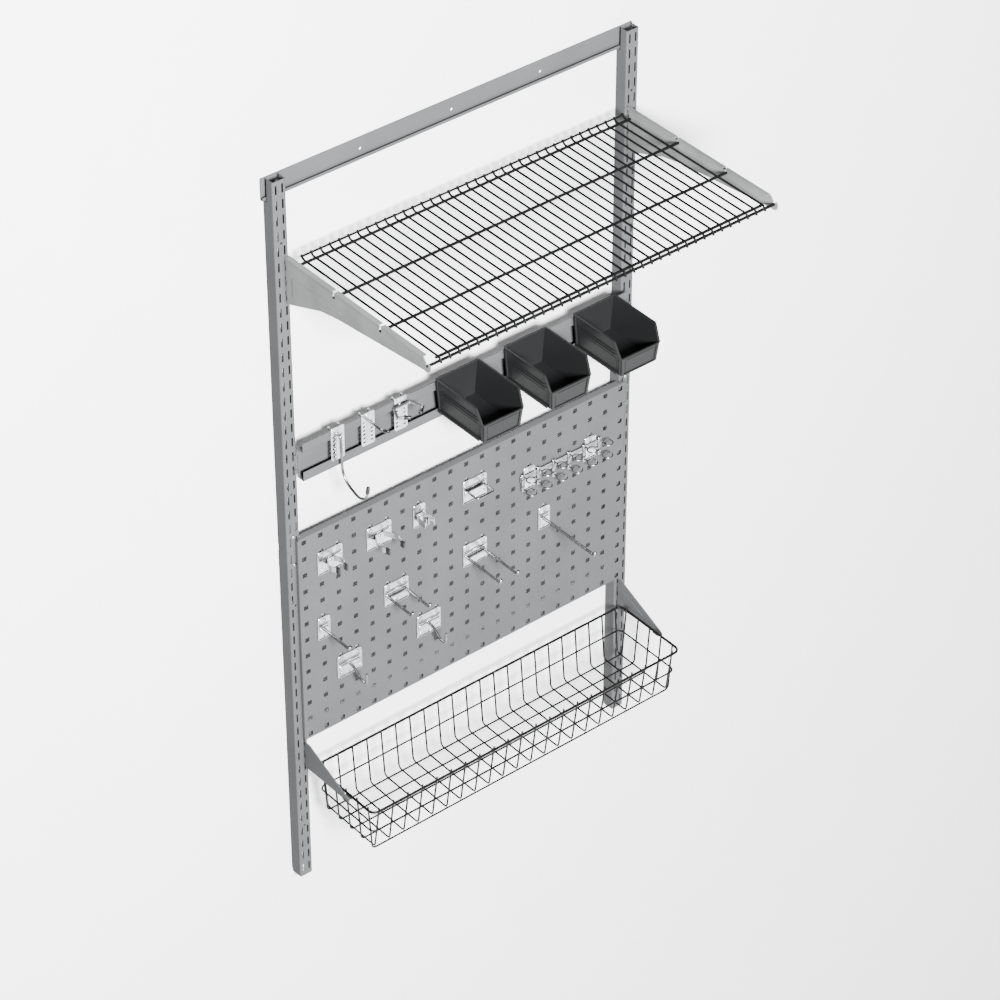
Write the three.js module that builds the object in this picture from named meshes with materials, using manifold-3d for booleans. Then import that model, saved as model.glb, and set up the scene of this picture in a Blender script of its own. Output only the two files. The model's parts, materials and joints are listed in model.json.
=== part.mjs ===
import * as THREE from 'three';
import { mergeVertices } from 'three/addons/utils/BufferGeometryUtils.js';
import Module from 'manifold-3d';

const wasm = await Module();
wasm.setup();

// Overall frame: X right, Y into the wall, Z up. Heights below are from the bottom of the uprights.
const FIXING_HEIGHT = 1574;

// Uprights
const UPRIGHT_X = 398.5;
const UPRIGHT_WIDTH = 28.6;
const UPRIGHT_LENGTH = 800.1;
const UPRIGHT_FRONT = -28.6;
const UPRIGHT_BACK = -1.6;
const UPRIGHT_SHEET = 1.8;
const SLOT_PITCH = 31.75;
const SLOT_COUNT = 25;
const SLOT_WIDTH = 4;
const SLOT_HEIGHT = 19;
const SLOT_OFFSET = 6.875;
const SLOT_FROM_TOP = 17.3;
const SLOT_X = UPRIGHT_X - SLOT_OFFSET;

// Hang rail
const HANG_HALF = 419;
const HANG_BOTTOM = 1555;
const HANG_TOP = 1598.5;
const HANG_SCREW_X = 203.2;

// Splices and their screws
const SPLICE_WIDTH = 24.4;
const SPLICE_HALF = 75;
const SPLICE_SHEET = 1.5;
const SPLICE_SCREW_OFFSET = 32;

// Pegboard
const BOARD_FRONT = -36.6;
const BOARD_SHEET = 1.2;
const BOARD_HALF = 394.5;
const BOARD_BOTTOM = 346.5;
const BOARD_TOP = 825;
const BOARD_FLANGE_BACK = -29;
const HOLE_SIZE = 9.5;
const HOLE_PITCH = 38.1;
const HOLE_COLUMNS = 21;
const HOLE_ROWS = 13;
const HOLE_TOP_ROW = 814;

// Bin rail
const RAIL_HALF = 384;
const RAIL_SHEET = 1.5;
const RAIL_BACK = -29.2;
const RAIL_FRONT = -48.6;
const RAIL_BOTTOM = 962;
const RAIL_TOP_WEB = 1027.5;
const RAIL_LOWER_LIP = 983;
const RAIL_UPPER_LIP = 1046;

// Bins
const BIN_LENGTH = 136.5;
const BIN_WIDTH = 104.8;
const BIN_HEIGHT = 76.2;
const BIN_BACK = -49.4;
const BIN_TOP = 1056;
const BIN_WALL = 2.2;
const BIN_CENTRES = [-32, 129, 297];

// Shelf
const SHELF_TOP = 1442;
const SHELF_PITCH = 20.32;
const SHELF_WIRES = 37;
const SHELF_WIRE_Z = 1434.1;
const SHELF_CROSS_Z = 1429.8;
const SHELF_NOTCHES = [138.6, 268];
const SHELF_FRONT_NOTCH = 397;

// Basket
const BASKET_RIM_Z = 285;
const BASKET_FLOOR_Z = 183;
const BASKET_PITCH = 34.86;
const BASKET_CROSS_WIRES = 22;
const BASKET_BACK = -48.6;
const BASKET_FRONT = -228.6;
const BASKET_FLOOR_ROWS = [-69.6, -106.6, -141.6, -175.6, -209.6];

// Accessory hooks on the pegboard
const PLATE_HEIGHT = 52;
const PLATE_SHEET = 1.6;
const PLATE_NARROW = 29;
const PLATE_WIDE = 58;
const PLATE_FRONT = BOARD_FRONT - 0.3 - PLATE_SHEET;

// Hooks on the bin rail
const RAIL_HOOK_XS = [-307, -238, -162.5];
const RAIL_PLATE_WIDTH = 30;
const RAIL_PLATE_BACK = -48.9;
const RAIL_PLATE_FRONT = -50.5;
const RAIL_PLATE_TOP = 1051;
const RAIL_PLATE_HEIGHT = 72;

const TINY_GAP = 0.3;

const group = new THREE.Group();
group.name = 'pegboard_tool_wall';
group.position.set(0, 0, -FIXING_HEIGHT);

function solid(geometry) {
  const plain = geometry.index ? geometry.toNonIndexed() : geometry;
  plain.deleteAttribute('normal');
  plain.deleteAttribute('uv');
  const merged = mergeVertices(plain, 1e-4);
  const points = new Float32Array(merged.attributes.position.array);
  const triangles = new Uint32Array(merged.index.array);
  let volume = 0;
  const a = new THREE.Vector3();
  const b = new THREE.Vector3();
  const c = new THREE.Vector3();
  for (let i = 0; i < triangles.length; i += 3) {
    a.fromArray(points, triangles[i] * 3);
    b.fromArray(points, triangles[i + 1] * 3);
    c.fromArray(points, triangles[i + 2] * 3);
    volume += a.dot(b.cross(c));
  }
  if (volume < 0) {
    for (let i = 0; i < triangles.length; i += 3) {
      const swap = triangles[i + 1];
      triangles[i + 1] = triangles[i + 2];
      triangles[i + 2] = swap;
    }
  }
  return new wasm.Manifold(new wasm.Mesh({ numProp: 3, vertProperties: points, triVerts: triangles }));
}

function box(x0, x1, y0, y1, z0, z1) {
  const shape = new THREE.BoxGeometry(x1 - x0, y1 - y0, z1 - z0);
  shape.translate((x0 + x1) / 2, (y0 + y1) / 2, (z0 + z1) / 2);
  return solid(shape);
}

// A cylinder along Y.
function drill(x, z, radius, y0, y1, sides = 12) {
  const shape = new THREE.CylinderGeometry(radius, radius, y1 - y0, sides);
  shape.translate(x, (y0 + y1) / 2, z);
  return solid(shape);
}

function outline(points) {
  const shape = new THREE.Shape();
  points.forEach(([u, v], i) => {
    if (i === 0) {
      shape.moveTo(u, v);
    } else {
      shape.lineTo(u, v);
    }
  });
  shape.closePath();
  return shape;
}

// A sheet in the XZ plane, from y0 back to y1.
function faceSheet(points, y0, y1) {
  const geometry = new THREE.ExtrudeGeometry(outline(points), { depth: y1 - y0, bevelEnabled: false });
  geometry.applyMatrix4(new THREE.Matrix4().set(1, 0, 0, 0, 0, 0, -1, y1, 0, 1, 0, 0, 0, 0, 0, 1));
  return solid(geometry);
}

// A sheet in the YZ plane, from x0 to x1.
function sideSheet(points, x0, x1) {
  const geometry = new THREE.ExtrudeGeometry(outline(points), { depth: x1 - x0, bevelEnabled: false });
  geometry.applyMatrix4(new THREE.Matrix4().set(0, 0, 1, x0, 1, 0, 0, 0, 0, 1, 0, 0, 0, 0, 0, 1));
  return solid(geometry);
}

// A sheet in the XY plane, from z0 up to z1.
function flatSheet(points, z0, z1) {
  const geometry = new THREE.ExtrudeGeometry(outline(points), { depth: z1 - z0, bevelEnabled: false });
  geometry.translate(0, 0, z0);
  return solid(geometry);
}

class BentWire extends THREE.Curve {
  constructor(vertices) {
    super();
    this.vertices = vertices;
  }

  getPoint(t, target = new THREE.Vector3()) {
    const last = this.vertices.length - 1;
    const at = Math.min(Math.max(t, 0), 1) * last;
    const i = Math.min(Math.floor(at), last - 1);
    return target.copy(this.vertices[i]).lerp(this.vertices[i + 1], at - i);
  }

  getPointAt(t, target) {
    return this.getPoint(t, target);
  }

  getTangentAt(t, target = new THREE.Vector3()) {
    const last = this.vertices.length - 1;
    const i = Math.round(Math.min(Math.max(t, 0), 1) * last);
    const before = this.vertices[Math.max(i - 1, 0)];
    const here = this.vertices[i];
    const after = this.vertices[Math.min(i + 1, last)];
    const into = here.clone().sub(before);
    const out = after.clone().sub(here);
    if (into.lengthSq() > 0) {
      into.normalize();
    }
    if (out.lengthSq() > 0) {
      out.normalize();
    }
    return target.copy(into).add(out).normalize();
  }
}

// Rounds the inner corners of a polyline with an arc of the given radius.
function rounded(corners, radius, segments) {
  const points = corners.map((p) => new THREE.Vector3(...p));
  if (radius <= 0) {
    return points;
  }
  const result = [points[0]];
  for (let i = 1; i < points.length - 1; i += 1) {
    const back = points[i - 1].clone().sub(points[i]);
    const ahead = points[i + 1].clone().sub(points[i]);
    const half = back.angleTo(ahead) / 2;
    const reach = Math.min(radius / Math.tan(half), back.length() * 0.48, ahead.length() * 0.48);
    const r = reach * Math.tan(half);
    back.normalize();
    ahead.normalize();
    const centre = points[i].clone().addScaledVector(back.clone().add(ahead).normalize(), r / Math.sin(half));
    const from = points[i].clone().addScaledVector(back, reach).sub(centre);
    const to = points[i].clone().addScaledVector(ahead, reach).sub(centre);
    const sweep = from.angleTo(to);
    for (let k = 0; k <= segments; k += 1) {
      const t = k / segments;
      const wa = Math.sin((1 - t) * sweep) / Math.sin(sweep);
      const wb = Math.sin(t * sweep) / Math.sin(sweep);
      result.push(centre.clone().addScaledVector(from, wa).addScaledVector(to, wb));
    }
  }
  result.push(points[points.length - 1]);
  return result;
}

// A wire of polygon section along a polyline. A 4-sided section has its flats square to the frame.
// A 3-sided section takes its size from the centre to its ridge, and ridge turns it round the wire.
function wire(corners, halfSize, sides = 4, radius = 0, segments = 2, ridge = Math.PI / 2) {
  const vertices = rounded(corners, radius, segments);
  const shape = new THREE.Shape();
  const reach = sides === 3 ? halfSize : halfSize / Math.cos(Math.PI / sides);
  const start = sides === 3 ? ridge : Math.PI / sides;
  for (let k = 0; k < sides; k += 1) {
    const angle = start + (k / sides) * 2 * Math.PI;
    if (k === 0) {
      shape.moveTo(reach * Math.cos(angle), reach * Math.sin(angle));
    } else {
      shape.lineTo(reach * Math.cos(angle), reach * Math.sin(angle));
    }
  }
  shape.closePath();
  const path = new BentWire(vertices);
  return solid(new THREE.ExtrudeGeometry(shape, { steps: vertices.length - 1, extrudePath: path }));
}

function joined(pieces) {
  return pieces.reduce((sum, piece) => sum.add(piece));
}

const FINISHES = {
  frame: { color: 0x8d9094, roughness: 0.55, metalness: 0.35 },
  bracket: { color: 0xa9b0ac, roughness: 0.5, metalness: 0.35 },
  wireFinish: { color: 0x2b2d30, roughness: 0.45, metalness: 0.4 },
  zinc: { color: 0xc9ccd0, roughness: 0.3, metalness: 0.9 },
  plastic: { color: 0x202225, roughness: 0.55, metalness: 0 },
  vinyl: { color: 0x161616, roughness: 0.6, metalness: 0 },
};

function place(name, body, finish) {
  const mesh = body.getMesh();
  const geometry = new THREE.BufferGeometry();
  geometry.setAttribute('position', new THREE.BufferAttribute(new Float32Array(mesh.vertProperties), 3));
  geometry.setIndex(new THREE.BufferAttribute(new Uint32Array(mesh.triVerts), 1));
  geometry.computeVertexNormals();
  const node = new THREE.Mesh(geometry, new THREE.MeshStandardMaterial(FINISHES[finish]));
  node.name = name;
  group.add(node);
}

// Hang rail: a plate against the wall with an upturned lip along its bottom edge.
function hangRail() {
  let body = box(-HANG_HALF, HANG_HALF, -2, 0, HANG_BOTTOM, HANG_TOP);
  body = body.add(box(-HANG_HALF, HANG_HALF, -8, -1, HANG_BOTTOM, HANG_BOTTOM + 1.6));
  body = body.add(box(-HANG_HALF, HANG_HALF, -8, -6.4, HANG_BOTTOM, HANG_BOTTOM + 7));
  for (const x of [-HANG_SCREW_X, 0, HANG_SCREW_X]) {
    body = body.subtract(drill(x, FIXING_HEIGHT, 3, -10, 2));
  }
  return body;
}

// One upright: slotted web at the front and two side flanges.
function upright(side, bottom, top, upper) {
  const c = side * UPRIGHT_X;
  const half = UPRIGHT_WIDTH / 2;
  const webBack = UPRIGHT_FRONT + UPRIGHT_SHEET;
  const slots = [];
  for (let k = 0; k < SLOT_COUNT; k += 1) {
    const z = slotZ(top, k);
    for (const offset of [-SLOT_OFFSET, SLOT_OFFSET]) {
      const x = c + offset;
      const w = SLOT_WIDTH / 2;
      slots.push(box(x - w, x + w, UPRIGHT_FRONT - 1, webBack + 1, z - SLOT_HEIGHT / 2, z + SLOT_HEIGHT / 2));
    }
  }
  const inner = half - UPRIGHT_SHEET;
  let body = box(c - half, c + half, UPRIGHT_FRONT, UPRIGHT_BACK, bottom, top);
  body = body.subtract(box(c - inner, c + inner, webBack, UPRIGHT_BACK + 1, bottom - 1, top + 1));
  body = body.subtract(joined(slots));
  if (upper) {
    body = body.subtract(box(c - half - 1, c + half + 1, -11, UPRIGHT_BACK + 1, HANG_BOTTOM - 2, top + 1));
  }
  if (upper) {
    body = body.add(box(c - 1, c + 1, webBack - 0.5, -2.6, HANG_BOTTOM + 7.6, HANG_BOTTOM + 25));
    body = body.add(box(c - 1, c + 1, -6, -2.6, HANG_BOTTOM + 2, HANG_BOTTOM + 9));
  }
  for (const z of [bottom + 128, top - 128]) {
    body = body.subtract(drill(c, z, 2.5, UPRIGHT_FRONT - 1, webBack + 1, 8));
  }
  const screwZ = upper ? bottom + SPLICE_SCREW_OFFSET : top - SPLICE_SCREW_OFFSET;
  return body.subtract(drill(c, screwZ, 2.4, UPRIGHT_FRONT - 1, webBack + 1, 8));
}

function splice(side) {
  const c = side * UPRIGHT_X;
  const half = SPLICE_WIDTH / 2;
  const front = UPRIGHT_FRONT + UPRIGHT_SHEET + TINY_GAP;
  const z0 = UPRIGHT_LENGTH - SPLICE_HALF;
  const z1 = UPRIGHT_LENGTH + SPLICE_HALF;
  let body = box(c - half, c + half, front, front + SPLICE_SHEET, z0, z1);
  body = body.add(box(c - half, c - half + SPLICE_SHEET, front + 1, -12, z0, z1));
  body = body.add(box(c + half - SPLICE_SHEET, c + half, front + 1, -12, z0, z1));
  for (const offset of [-SPLICE_SCREW_OFFSET, SPLICE_SCREW_OFFSET]) {
    body = body.subtract(drill(c, UPRIGHT_LENGTH + offset, 2.4, front - 1, front + 3, 10));
  }
  return body;
}

function spliceScrew(side, offset) {
  const c = side * UPRIGHT_X;
  const z = UPRIGHT_LENGTH + offset;
  const under = UPRIGHT_FRONT - TINY_GAP;
  return drill(c, z, 3.3, under - 2.2, under, 12).add(drill(c, z, 2, under - 1, -21, 10));
}

// A tab that passes a slot in an upright and turns down behind its web.
function slotHook(x0, x1, yFrom, slotZ) {
  const foot = slotZ - SLOT_HEIGHT / 2 + TINY_GAP;
  const behind = UPRIGHT_FRONT + UPRIGHT_SHEET + TINY_GAP;
  const neck = box(x0, x1, yFrom, behind + 2, foot, slotZ + 1);
  return neck.add(box(x0, x1, behind, behind + 2, foot - 7, slotZ + 1));
}

function slotZ(topOfUpright, k) {
  return topOfUpright - SLOT_FROM_TOP - SLOT_PITCH * k;
}

function pegboard() {
  const holes = [];
  for (let row = 0; row < HOLE_ROWS; row += 1) {
    for (let column = 0; column < HOLE_COLUMNS; column += 1) {
      const x = holeX(column);
      const z = holeZ(row);
      const h = HOLE_SIZE / 2;
      holes.push(box(x - h, x + h, BOARD_FRONT - 1, BOARD_FRONT + BOARD_SHEET + 1, z - h, z + h));
    }
  }
  const w = BOARD_HALF;
  const t = BOARD_SHEET;
  let body = box(-w, w, BOARD_FRONT, BOARD_FLANGE_BACK, BOARD_BOTTOM, BOARD_TOP);
  const hollowBack = BOARD_FLANGE_BACK + 1;
  body = body.subtract(box(t - w, w - t, BOARD_FRONT + t, hollowBack, BOARD_BOTTOM + t, BOARD_TOP - t));
  body = body.subtract(joined(holes));
  for (const side of [-1, 1]) {
    for (const k of [3, 8, 12]) {
      const x0 = side < 0 ? -w + t - 0.1 : w - t - 2.1;
      body = body.add(slotHook(x0, x0 + 2.2, -34, slotZ(UPRIGHT_LENGTH, k)));
    }
  }
  return body;
}

function binRail() {
  const back = RAIL_BACK;
  const t = RAIL_SHEET;
  const profile = [
    [back, RAIL_BOTTOM],
    [back, RAIL_TOP_WEB],
    [RAIL_FRONT + t, RAIL_TOP_WEB],
    [RAIL_FRONT + t, RAIL_UPPER_LIP],
    [RAIL_FRONT, RAIL_UPPER_LIP],
    [RAIL_FRONT, RAIL_TOP_WEB - t],
    [back - t, RAIL_TOP_WEB - t],
    [back - t, RAIL_BOTTOM + t],
    [RAIL_FRONT + t, RAIL_BOTTOM + t],
    [RAIL_FRONT + t, RAIL_LOWER_LIP],
    [RAIL_FRONT, RAIL_LOWER_LIP],
    [RAIL_FRONT, RAIL_BOTTOM],
  ];
  let body = sideSheet(profile, -RAIL_HALF, RAIL_HALF);
  for (const side of [-1, 1]) {
    for (const k of [18, 19]) {
      const z = slotZ(2 * UPRIGHT_LENGTH, k);
      const foot = z - SLOT_HEIGHT / 2 + TINY_GAP;
      const inner = side < 0 ? -SLOT_X - 1 : RAIL_HALF - 2;
      const outer = side < 0 ? -RAIL_HALF + 2 : SLOT_X + 1;
      body = body.add(box(inner, outer, back - t, back, foot, z + 1));
      body = body.add(slotHook(side * SLOT_X - 1, side * SLOT_X + 1, back - t, z));
    }
  }
  return body;
}

// A hopper bin: tapered walls, open top, low front, and a lip that hangs behind the rail's upper edge.
function bin(centre) {
  const forward = (f) => BIN_BACK - f;
  const sides = (inset, rise) => [
    [forward(inset), BIN_TOP + rise],
    [forward(118), BIN_TOP + rise],
    [forward(BIN_LENGTH - 1 - inset), BIN_TOP - 40 + rise],
    [forward(BIN_LENGTH - 5 - inset), BIN_TOP - BIN_HEIGHT + inset],
    [forward(inset + 1), BIN_TOP - BIN_HEIGHT + inset],
  ];
  const front = (inset, rise) => [
    [centre - BIN_WIDTH / 2 + inset, BIN_TOP + rise],
    [centre + BIN_WIDTH / 2 - inset, BIN_TOP + rise],
    [centre + BIN_WIDTH / 2 - 7 - inset, BIN_TOP - BIN_HEIGHT - 1],
    [centre - BIN_WIDTH / 2 + 7 + inset, BIN_TOP - BIN_HEIGHT - 1],
  ];
  const reach = BIN_WIDTH / 2 + 5;
  const outer = sideSheet(sides(0, 0), centre - reach, centre + reach)
    .intersect(faceSheet(front(2.5, 0.5), BIN_BACK - BIN_LENGTH - 5, BIN_BACK + 5));
  const inner = sideSheet(sides(BIN_WALL, 5), centre - reach, centre + reach)
    .intersect(faceSheet(front(2.5 + BIN_WALL, 6), BIN_BACK - BIN_LENGTH - 5, BIN_BACK + 5));
  let body = outer;
  const rimX = BIN_WIDTH / 2;
  body = body.add(box(centre - rimX, centre + rimX, forward(118), BIN_BACK, BIN_TOP - 3, BIN_TOP));
  body = body.add(box(centre - rimX + 4, centre + rimX - 4, forward(128), forward(4), BIN_TOP - 66, BIN_TOP - 60));
  body = body.subtract(inner);
  const lip = 42;
  const hookTop = RAIL_UPPER_LIP + 0.4;
  body = body.add(box(centre - lip, centre + lip, BIN_BACK - 1, -45, hookTop, hookTop + 2.2));
  return body.add(box(centre - lip, centre + lip, -46.7, -45, hookTop - 9.5, hookTop + 2.2));
}

function railHookPlate(x) {
  const h = RAIL_PLATE_WIDTH / 2;
  const z1 = RAIL_PLATE_TOP;
  const z0 = RAIL_PLATE_TOP - RAIL_PLATE_HEIGHT;
  let body = faceSheet(
    [[x - h + 4, z0], [x + h - 4, z0], [x + h, z0 + 4], [x + h, z1 - 4], [x + h - 4, z1],
      [x - h + 4, z1], [x - h, z1 - 4], [x - h, z0 + 4]],
    RAIL_PLATE_FRONT,
    RAIL_PLATE_BACK,
  );
  for (const side of [-1, 1]) {
    const a = x + side * 9.5 - 4;
    body = body.add(box(a, a + 8, RAIL_PLATE_FRONT + 0.5, -45.2, RAIL_UPPER_LIP + 0.4, RAIL_UPPER_LIP + 2));
    body = body.add(box(a, a + 8, -46.8, -45.2, RAIL_UPPER_LIP - 8, RAIL_UPPER_LIP + 2));
  }
  return body;
}

// A vinyl cap with a blind bore, slipped over a rod end that points along the given direction.
function cap(end, direction, rod, length) {
  const flat = Math.cos(Math.PI / 6);
  const bore = (rod / flat + TINY_GAP) / flat;
  const outer = bore + 1.2;
  const profile = [
    new THREE.Vector2(0, length),
    new THREE.Vector2(outer - 1, length),
    new THREE.Vector2(outer, length - 1),
    new THREE.Vector2(outer, 0),
    new THREE.Vector2(bore, 0),
    new THREE.Vector2(bore, length - 2.5),
    new THREE.Vector2(0, length - 2.5),
  ];
  const geometry = new THREE.LatheGeometry(profile, 6);
  const along = new THREE.Vector3(...direction).normalize();
  const turn = new THREE.Quaternion().setFromUnitVectors(new THREE.Vector3(0, 1, 0), along);
  geometry.applyQuaternion(turn);
  const from = new THREE.Vector3(...end).addScaledVector(along, -(length - 2.5 - TINY_GAP));
  geometry.translate(from.x, from.y, from.z);
  return solid(geometry);
}

// Shelf of straight wires welded on cross wires. d is the distance in front of the uprights.
function shelf() {
  const at = (d) => UPRIGHT_FRONT - d;
  const pieces = [];
  const crossSize = 2.6;
  const across = (d, z, reach, size) => wire([[-reach, at(d), z], [reach, at(d), z]], size, 3, 0, 0, Math.PI);
  pieces.push(across(22, SHELF_CROSS_Z, 378, crossSize));
  for (const d of SHELF_NOTCHES) {
    pieces.push(across(d, SHELF_CROSS_Z, 393, crossSize));
  }
  pieces.push(across(386, SHELF_CROSS_Z, 368, crossSize));
  pieces.push(across(SHELF_FRONT_NOTCH - 2, 1426.9, 393, crossSize));
  pieces.push(across(12.8, SHELF_WIRE_Z + 3.4, 368, 2.4));
  for (let i = 0; i < SHELF_WIRES; i += 1) {
    const x = (i - (SHELF_WIRES - 1) / 2) * SHELF_PITCH;
    pieces.push(wire([
      [x, at(12.5), SHELF_WIRE_Z + 7.5],
      [x, at(20), SHELF_WIRE_Z],
      [x, at(393.5), SHELF_WIRE_Z],
      [x, at(401.5), 1424.5],
    ], 2.7, 3));
  }
  return joined(pieces);
}

function shelfBracket(side) {
  const at = (d) => UPRIGHT_FRONT - d;
  const T = SHELF_TOP;
  const x0 = side * SLOT_X - 1;
  const x1 = side * SLOT_X + 1;
  const notch = (d) => {
    const slot = 2.75;
    const r = 4.4;
    const centre = T - 10.8;
    const points = [];
    const open = Math.asin(slot / r);
    for (let k = 0; k <= 8; k += 1) {
      const angle = Math.PI / 2 - open - (2 * Math.PI - 2 * open) * (k / 8);
      points.push([at(d) + r * Math.cos(angle), centre + r * Math.sin(angle)]);
    }
    points.unshift([at(d) + slot, T + 3]);
    points.push([at(d) - slot, T + 3]);
    return sideSheet(points, x0 - 12, x1 + 12);
  };
  let body = sideSheet([
    [at(0.4), T],
    [at(385), T],
    [at(391), T - 8],
    [at(393.8 - 1), T - 8],
    [at(392.2), T - 16.8],
    [at(397.8), T - 16.8],
    [at(399.5), T - 8],
    [at(404), T - 11],
    [at(405), T - 17],
    [at(401), T - 24],
    [at(393), T - 27],
    [at(385), T - 27],
    [at(150), T - 52],
    [at(100), T - 61],
    [at(2), T - 98],
    [at(0.4), T - 98],
  ], x0, x1);
  const inner = side < 0 ? x1 - 1 : x0 - 7;
  body = body.add(box(inner, inner + 8, at(385), at(0.4), T - 2, T));
  const ribFrom = side < 0 ? x1 - 0.5 : x0 - 1.2;
  body = body.add(sideSheet([
    [at(16), T - 82],
    [at(16), T - 30],
    [at(120), T - 30],
    [at(210), T - 33],
    [at(120), T - 44],
  ], ribFrom, ribFrom + 1.7));
  for (const d of SHELF_NOTCHES) {
    body = body.subtract(notch(d));
  }
  for (const k of [5, 6, 7]) {
    body = body.add(slotHook(x0, x1, at(3), slotZ(2 * UPRIGHT_LENGTH, k)));
  }
  return body;
}

// Half of a level loop with rounded corners, from the middle of its back to the middle of its front.
function halfLoop(side, reach, back, front, z, size, radius) {
  return wire([
    [-side, back, z],
    [side * reach, back, z],
    [side * reach, front, z],
    [-side, front, z],
  ], size, 3, radius, 3, -side * Math.PI / 2);
}

function basket() {
  const pieces = [];
  const size = 2.3;
  for (const side of [-1, 1]) {
    pieces.push(halfLoop(side, 383, BASKET_BACK, BASKET_FRONT, BASKET_RIM_Z, 2.9, 14));
    pieces.push(halfLoop(side, 378.6, BASKET_BACK - 5.1, BASKET_FRONT + 8.4, 231, size, 12));
  }
  for (let i = 0; i < BASKET_CROSS_WIRES; i += 1) {
    const x = (i - (BASKET_CROSS_WIRES - 1) / 2) * BASKET_PITCH;
    pieces.push(wire([
      [x, BASKET_BACK - 3.9, BASKET_RIM_Z + 5],
      [x, BASKET_BACK - 13, BASKET_FLOOR_Z],
      [x, BASKET_FRONT + 19, BASKET_FLOOR_Z],
      [x, BASKET_FRONT + 3.9, BASKET_RIM_Z + 5],
    ], size, 3));
  }
  for (const y of BASKET_FLOOR_ROWS) {
    pieces.push(wire([
      [-380.9, y, BASKET_RIM_Z + 5],
      [-372, y, BASKET_FLOOR_Z - 2.6],
      [372, y, BASKET_FLOOR_Z - 2.6],
      [380.9, y, BASKET_RIM_Z + 5],
    ], size, 3, 0, 0, -Math.PI / 2));
  }
  return joined(pieces);
}

function basketBracket(side) {
  const at = (d) => UPRIGHT_FRONT - d;
  const x0 = side * SLOT_X - 1;
  const x1 = side * SLOT_X + 1;
  let body = sideSheet([
    [at(0.4), 338],
    [at(0.4), 276],
    [at(134), 276],
    [at(138), 279],
    [at(138), 284],
    [at(18), 338],
  ], x0, x1);
  for (const [d0, d1] of [[22, 36], [119, 136]]) {
    const inner = side < 0 ? x1 - 1 : x0 - 10;
    body = body.add(box(inner, inner + 11, at(d1), at(d0), 280.2, 282.2));
  }
  for (const k of [14, 15]) {
    body = body.add(slotHook(x0, x1, at(3), slotZ(UPRIGHT_LENGTH, k)));
  }
  return body;
}

function holeX(column) {
  return (column - (HOLE_COLUMNS - 1) / 2) * HOLE_PITCH;
}

function holeZ(row) {
  return HOLE_TOP_ROW - row * HOLE_PITCH;
}

// A stamped plate that hangs in the pegboard by tabs in the given columns.
function hookPlate(columns, row) {
  const xs = columns.map(holeX);
  const x = xs.reduce((sum, value) => sum + value, 0) / xs.length;
  const h = (columns.length > 1 ? PLATE_WIDE : PLATE_NARROW) / 2;
  const z = holeZ(row);
  const z1 = z - 0.5;
  const z0 = z1 - PLATE_HEIGHT;
  const back = BOARD_FRONT - TINY_GAP;
  let body = faceSheet(
    [[x - h + 3, z0], [x + h - 3, z0], [x + h, z0 + 3], [x + h, z1 - 5], [x + h - 5, z1],
      [x - h + 5, z1], [x - h, z1 - 5], [x - h, z0 + 3]],
    PLATE_FRONT,
    back,
  );
  for (const tab of xs) {
    const behind = BOARD_FRONT + BOARD_SHEET + TINY_GAP;
    body = body.add(box(tab - 3.5, tab + 3.5, back - 0.5, behind + 1.6, z - 4.4, z - 2.8));
    body = body.add(box(tab - 3.5, tab + 3.5, behind, behind + 1.6, z - 4.4, z + 8));
    body = body.add(box(tab - 2, tab + 2, back - 0.5, -32, z - HOLE_PITCH - 4.4, z - HOLE_PITCH - 2.4));
  }
  return body;
}

const ROOT = PLATE_FRONT - TINY_GAP;

// Two prongs joined by a bar across the plate.
function doubleProng(x, z, half, length, rise) {
  const y = ROOT - 2.2;
  const bar = wire([[x - half, y, z], [x + half, y, z]], 1.9, 6);
  const pieces = [bar];
  for (const side of [-1, 1]) {
    pieces.push(wire([
      [x + side * half, y + 1, z],
      [x + side * half, PLATE_FRONT - length + 4, z],
      [x + side * half, PLATE_FRONT - length, z + rise],
    ], 2.1, 6, 4, 2));
  }
  return joined(pieces);
}

function singleProng(x, z, length, rise) {
  return wire([
    [x, ROOT, z],
    [x, PLATE_FRONT - length + 4, z],
    [x, PLATE_FRONT - length, z + rise],
  ], 2.5, 6, 4, 2);
}

function jayRod(x, z) {
  return wire([
    [x, ROOT - 0.4, z],
    [x, PLATE_FRONT - 12, z - 2],
    [x, PLATE_FRONT - 34, z - 19],
    [x, PLATE_FRONT - 52, z - 19],
    [x, PLATE_FRONT - 52, z + 7],
  ], 2, 6, 9, 3);
}

function rectangularLoop(x, z) {
  const y = ROOT - 2.2;
  const h = 20.5;
  return joined([
    wire([[x - h, y, z], [x - h, y - 30, z], [x + h, y - 30, z], [x + h, y, z]], 2, 6, 8, 3),
    wire([[x - h - 1, y, z], [x + h + 1, y, z]], 1.8, 6),
  ]);
}

// A springy flat strip in plan view, drawn as a polyline with a thickness.
function strip(points, thickness, z0, z1) {
  const left = [];
  const right = [];
  points.forEach(([x, y], i) => {
    const before = points[Math.max(i - 1, 0)];
    const after = points[Math.min(i + 1, points.length - 1)];
    const along = new THREE.Vector2(after[0] - before[0], after[1] - before[1]).normalize();
    left.push([x - along.y * thickness / 2, y + along.x * thickness / 2]);
    right.unshift([x + along.y * thickness / 2, y - along.x * thickness / 2]);
  });
  return flatSheet([...left, ...right], z0, z1);
}

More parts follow.
